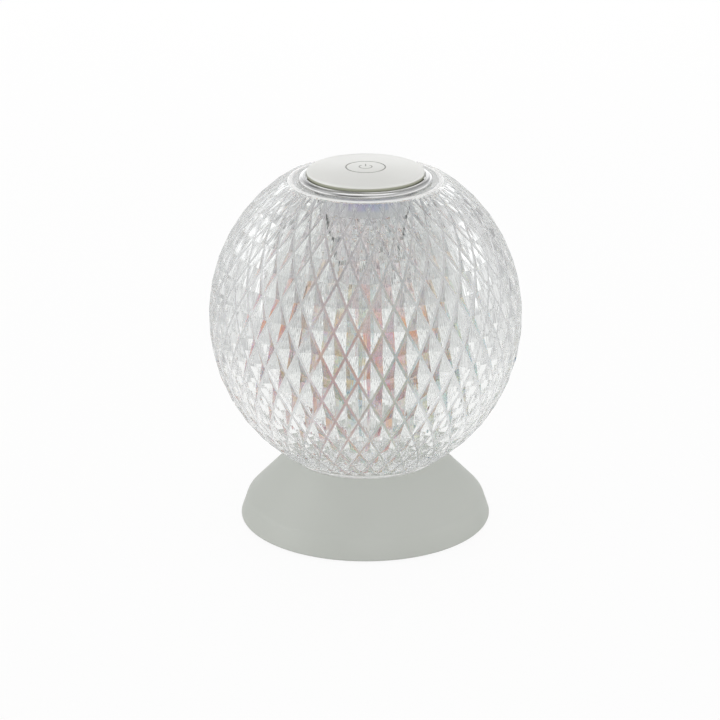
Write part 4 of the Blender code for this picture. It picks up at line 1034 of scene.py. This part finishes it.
def tent_glow():
    """Cloth panels in several greys, plainer and dimmer towards the sides and the front."""
    nodes = Nodes("light_tent")
    panels = nodes.ramp(nodes.noise(13.0, detail=1.0, rough=0.4), TENT_PANELS)
    axes = nodes.axes()
    aside = nodes.calculate("ABSOLUTE", axes["X"])
    forward = nodes.calculate("MULTIPLY", axes["Y"], -1.0)
    widest = nodes.calculate("MAXIMUM", aside, forward)
    plain = nodes.to_range(widest, 0.0, 0.5, 0.35 * TENT_RADIUS, 0.85 * TENT_RADIUS)
    colour = nodes.mix(plain, panels, (*grey(1.0), 1.0))
    level = nodes.ramp(nodes.to_range(axes["Z"], 0.0, 1.0, 0.0, TENT_HEIGHT), TENT_LEVELS)
    strength = nodes.mix_values(plain, nodes.calculate("MULTIPLY", level, 2.0), 1.0)
    # A dark panel high at the front left, which the polished ring mirrors
    facing = nodes.add("VectorMath", operation="DOT_PRODUCT")
    nodes.put(nodes.position(), facing.inputs[0])
    nodes.put((-0.45, -0.89, 0.0), facing.inputs[1])
    across = nodes.to_range(
        facing.outputs["Value"], 0.0, 1.0, 0.80 * TENT_RADIUS, 0.96 * TENT_RADIUS
    )
    upwards = nodes.to_range(axes["Z"], 0.0, 0.8, at_low=0.13, at_high=0.16)
    dark = nodes.calculate("MULTIPLY", across, upwards)
    strength = nodes.mix_values(dark, strength, 0.05)
    nodes.surface(nodes.add("Emission", Color=colour, Strength=strength).outputs[0])
    return nodes.material


def make_tent():
    """A light tent round the lamp."""
    count = 48
    points, faces = [], []
    for i in range(count):
        x, y = TENT_RADIUS * math.sin(TAU * i / count), TENT_RADIUS * math.cos(TAU * i / count)
        points += [(x, y, 0.0), (x, y, TENT_HEIGHT)]
        j = (i + 1) % count
        faces.append((2 * i, 2 * j, 2 * j + 1, 2 * i + 1))
    mirrored_only(staged("light_tent", points, faces, tent_glow()))


def make_floor():
    """A pale floor. Seen or mirrored, it is the white backdrop with the lamp's faint shadow."""
    half_size, below_foot, white_share = 3.0, 0.0002, 0.92
    nodes = Nodes("floor")
    fine = nodes.noise(400.0, detail=2.0)
    nodes.set(
        Base_Color=nodes.shades(fine, (0.80, 0.80, 0.79), (0.82, 0.82, 0.81)),
        Roughness=0.9,
        Specular_IOR_Level=0.1,
    )
    white = nodes.add("Emission", Strength=1.0)
    blend = nodes.add("MixShader")
    nodes.put(nodes.calculate("MULTIPLY", ray_seen(nodes.tree), white_share), blend.inputs[0])
    nodes.put(nodes.shader.outputs[0], blend.inputs[1])
    nodes.put(white.outputs[0], blend.inputs[2])
    nodes.surface(blend.outputs[0])
    floor = staged("floor", flat(half_size, half_size), [(0, 1, 2, 3)], nodes.material)
    floor.location.z = -below_foot


def area_light(name, place, target_z, size, power):
    """A softbox towards a point on the lamp's axis."""
    light = bpy.data.lights.new(name, "AREA")
    light.shape = "RECTANGLE"
    light.size, light.size_y = size
    light.energy = power
    obj = new_object(name, light)
    aim(obj, place, (0.0, 0.0, target_z), "-Z")
    obj.visible_camera = False


def make_camera():
    """The photograph's angle, from a camera fitted to its ellipses."""
    photo_pixels, focal_pixels, tilt_down = 720, 2831.69, 0.35770
    data = bpy.data.cameras.new("camera")
    data.sensor_width = 36.0
    data.lens = 36.0 * focal_pixels / photo_pixels
    data.clip_start, data.clip_end = 0.05, 20.0
    camera = new_object("camera", data)
    camera.location = (-0.0021, -1.0234464, 0.4461562)
    camera.rotation_euler = (math.pi / 2 - tilt_down, 0.0, 0.0)
    bpy.context.scene.camera = camera


make_globe()
make_ring()
make_cap()
make_symbol()
make_tube()
make_spring()
make_base()

make_world()
make_floor()
make_tent()
card("card_room", (0.0, -2.4, 0.9), (5.0, 2.6), 0.15, 0.6)
card("card_top", (0.0, -0.2, 2.2), (4.0, 4.0), 0.35, 0.7)
card("card_left", (-2.2, -0.2, 0.8), (4.0, 2.2), 0.4, 0.9)
card("card_right", (2.2, -0.2, 0.8), (4.0, 2.2), 0.4, 0.9)
area_light("softbox_back", (0.0, 1.3, 0.5), 0.1, (1.2, 0.4), 5.0)
area_light("softbox_top", (0.0, 0.5, 1.2), 0.08, (0.9, 0.9), 2.2)
area_light("softbox_left", (-1.0, -0.1, 0.35), 0.08, (0.35, 0.7), 2.6)
area_light("softbox_right", (1.0, -0.1, 0.35), 0.08, (0.35, 0.7), 1.7)
area_light("softbox_front", (0.1, -1.6, 0.5), 0.06, (0.9, 0.7), 5.0)
make_camera()

scene = bpy.context.scene
scene.view_settings.view_transform = "Standard"
scene.cycles.max_bounces = 48
scene.cycles.transmission_bounces = 48
scene.cycles.glossy_bounces = 36
scene.cycles.diffuse_bounces = 4
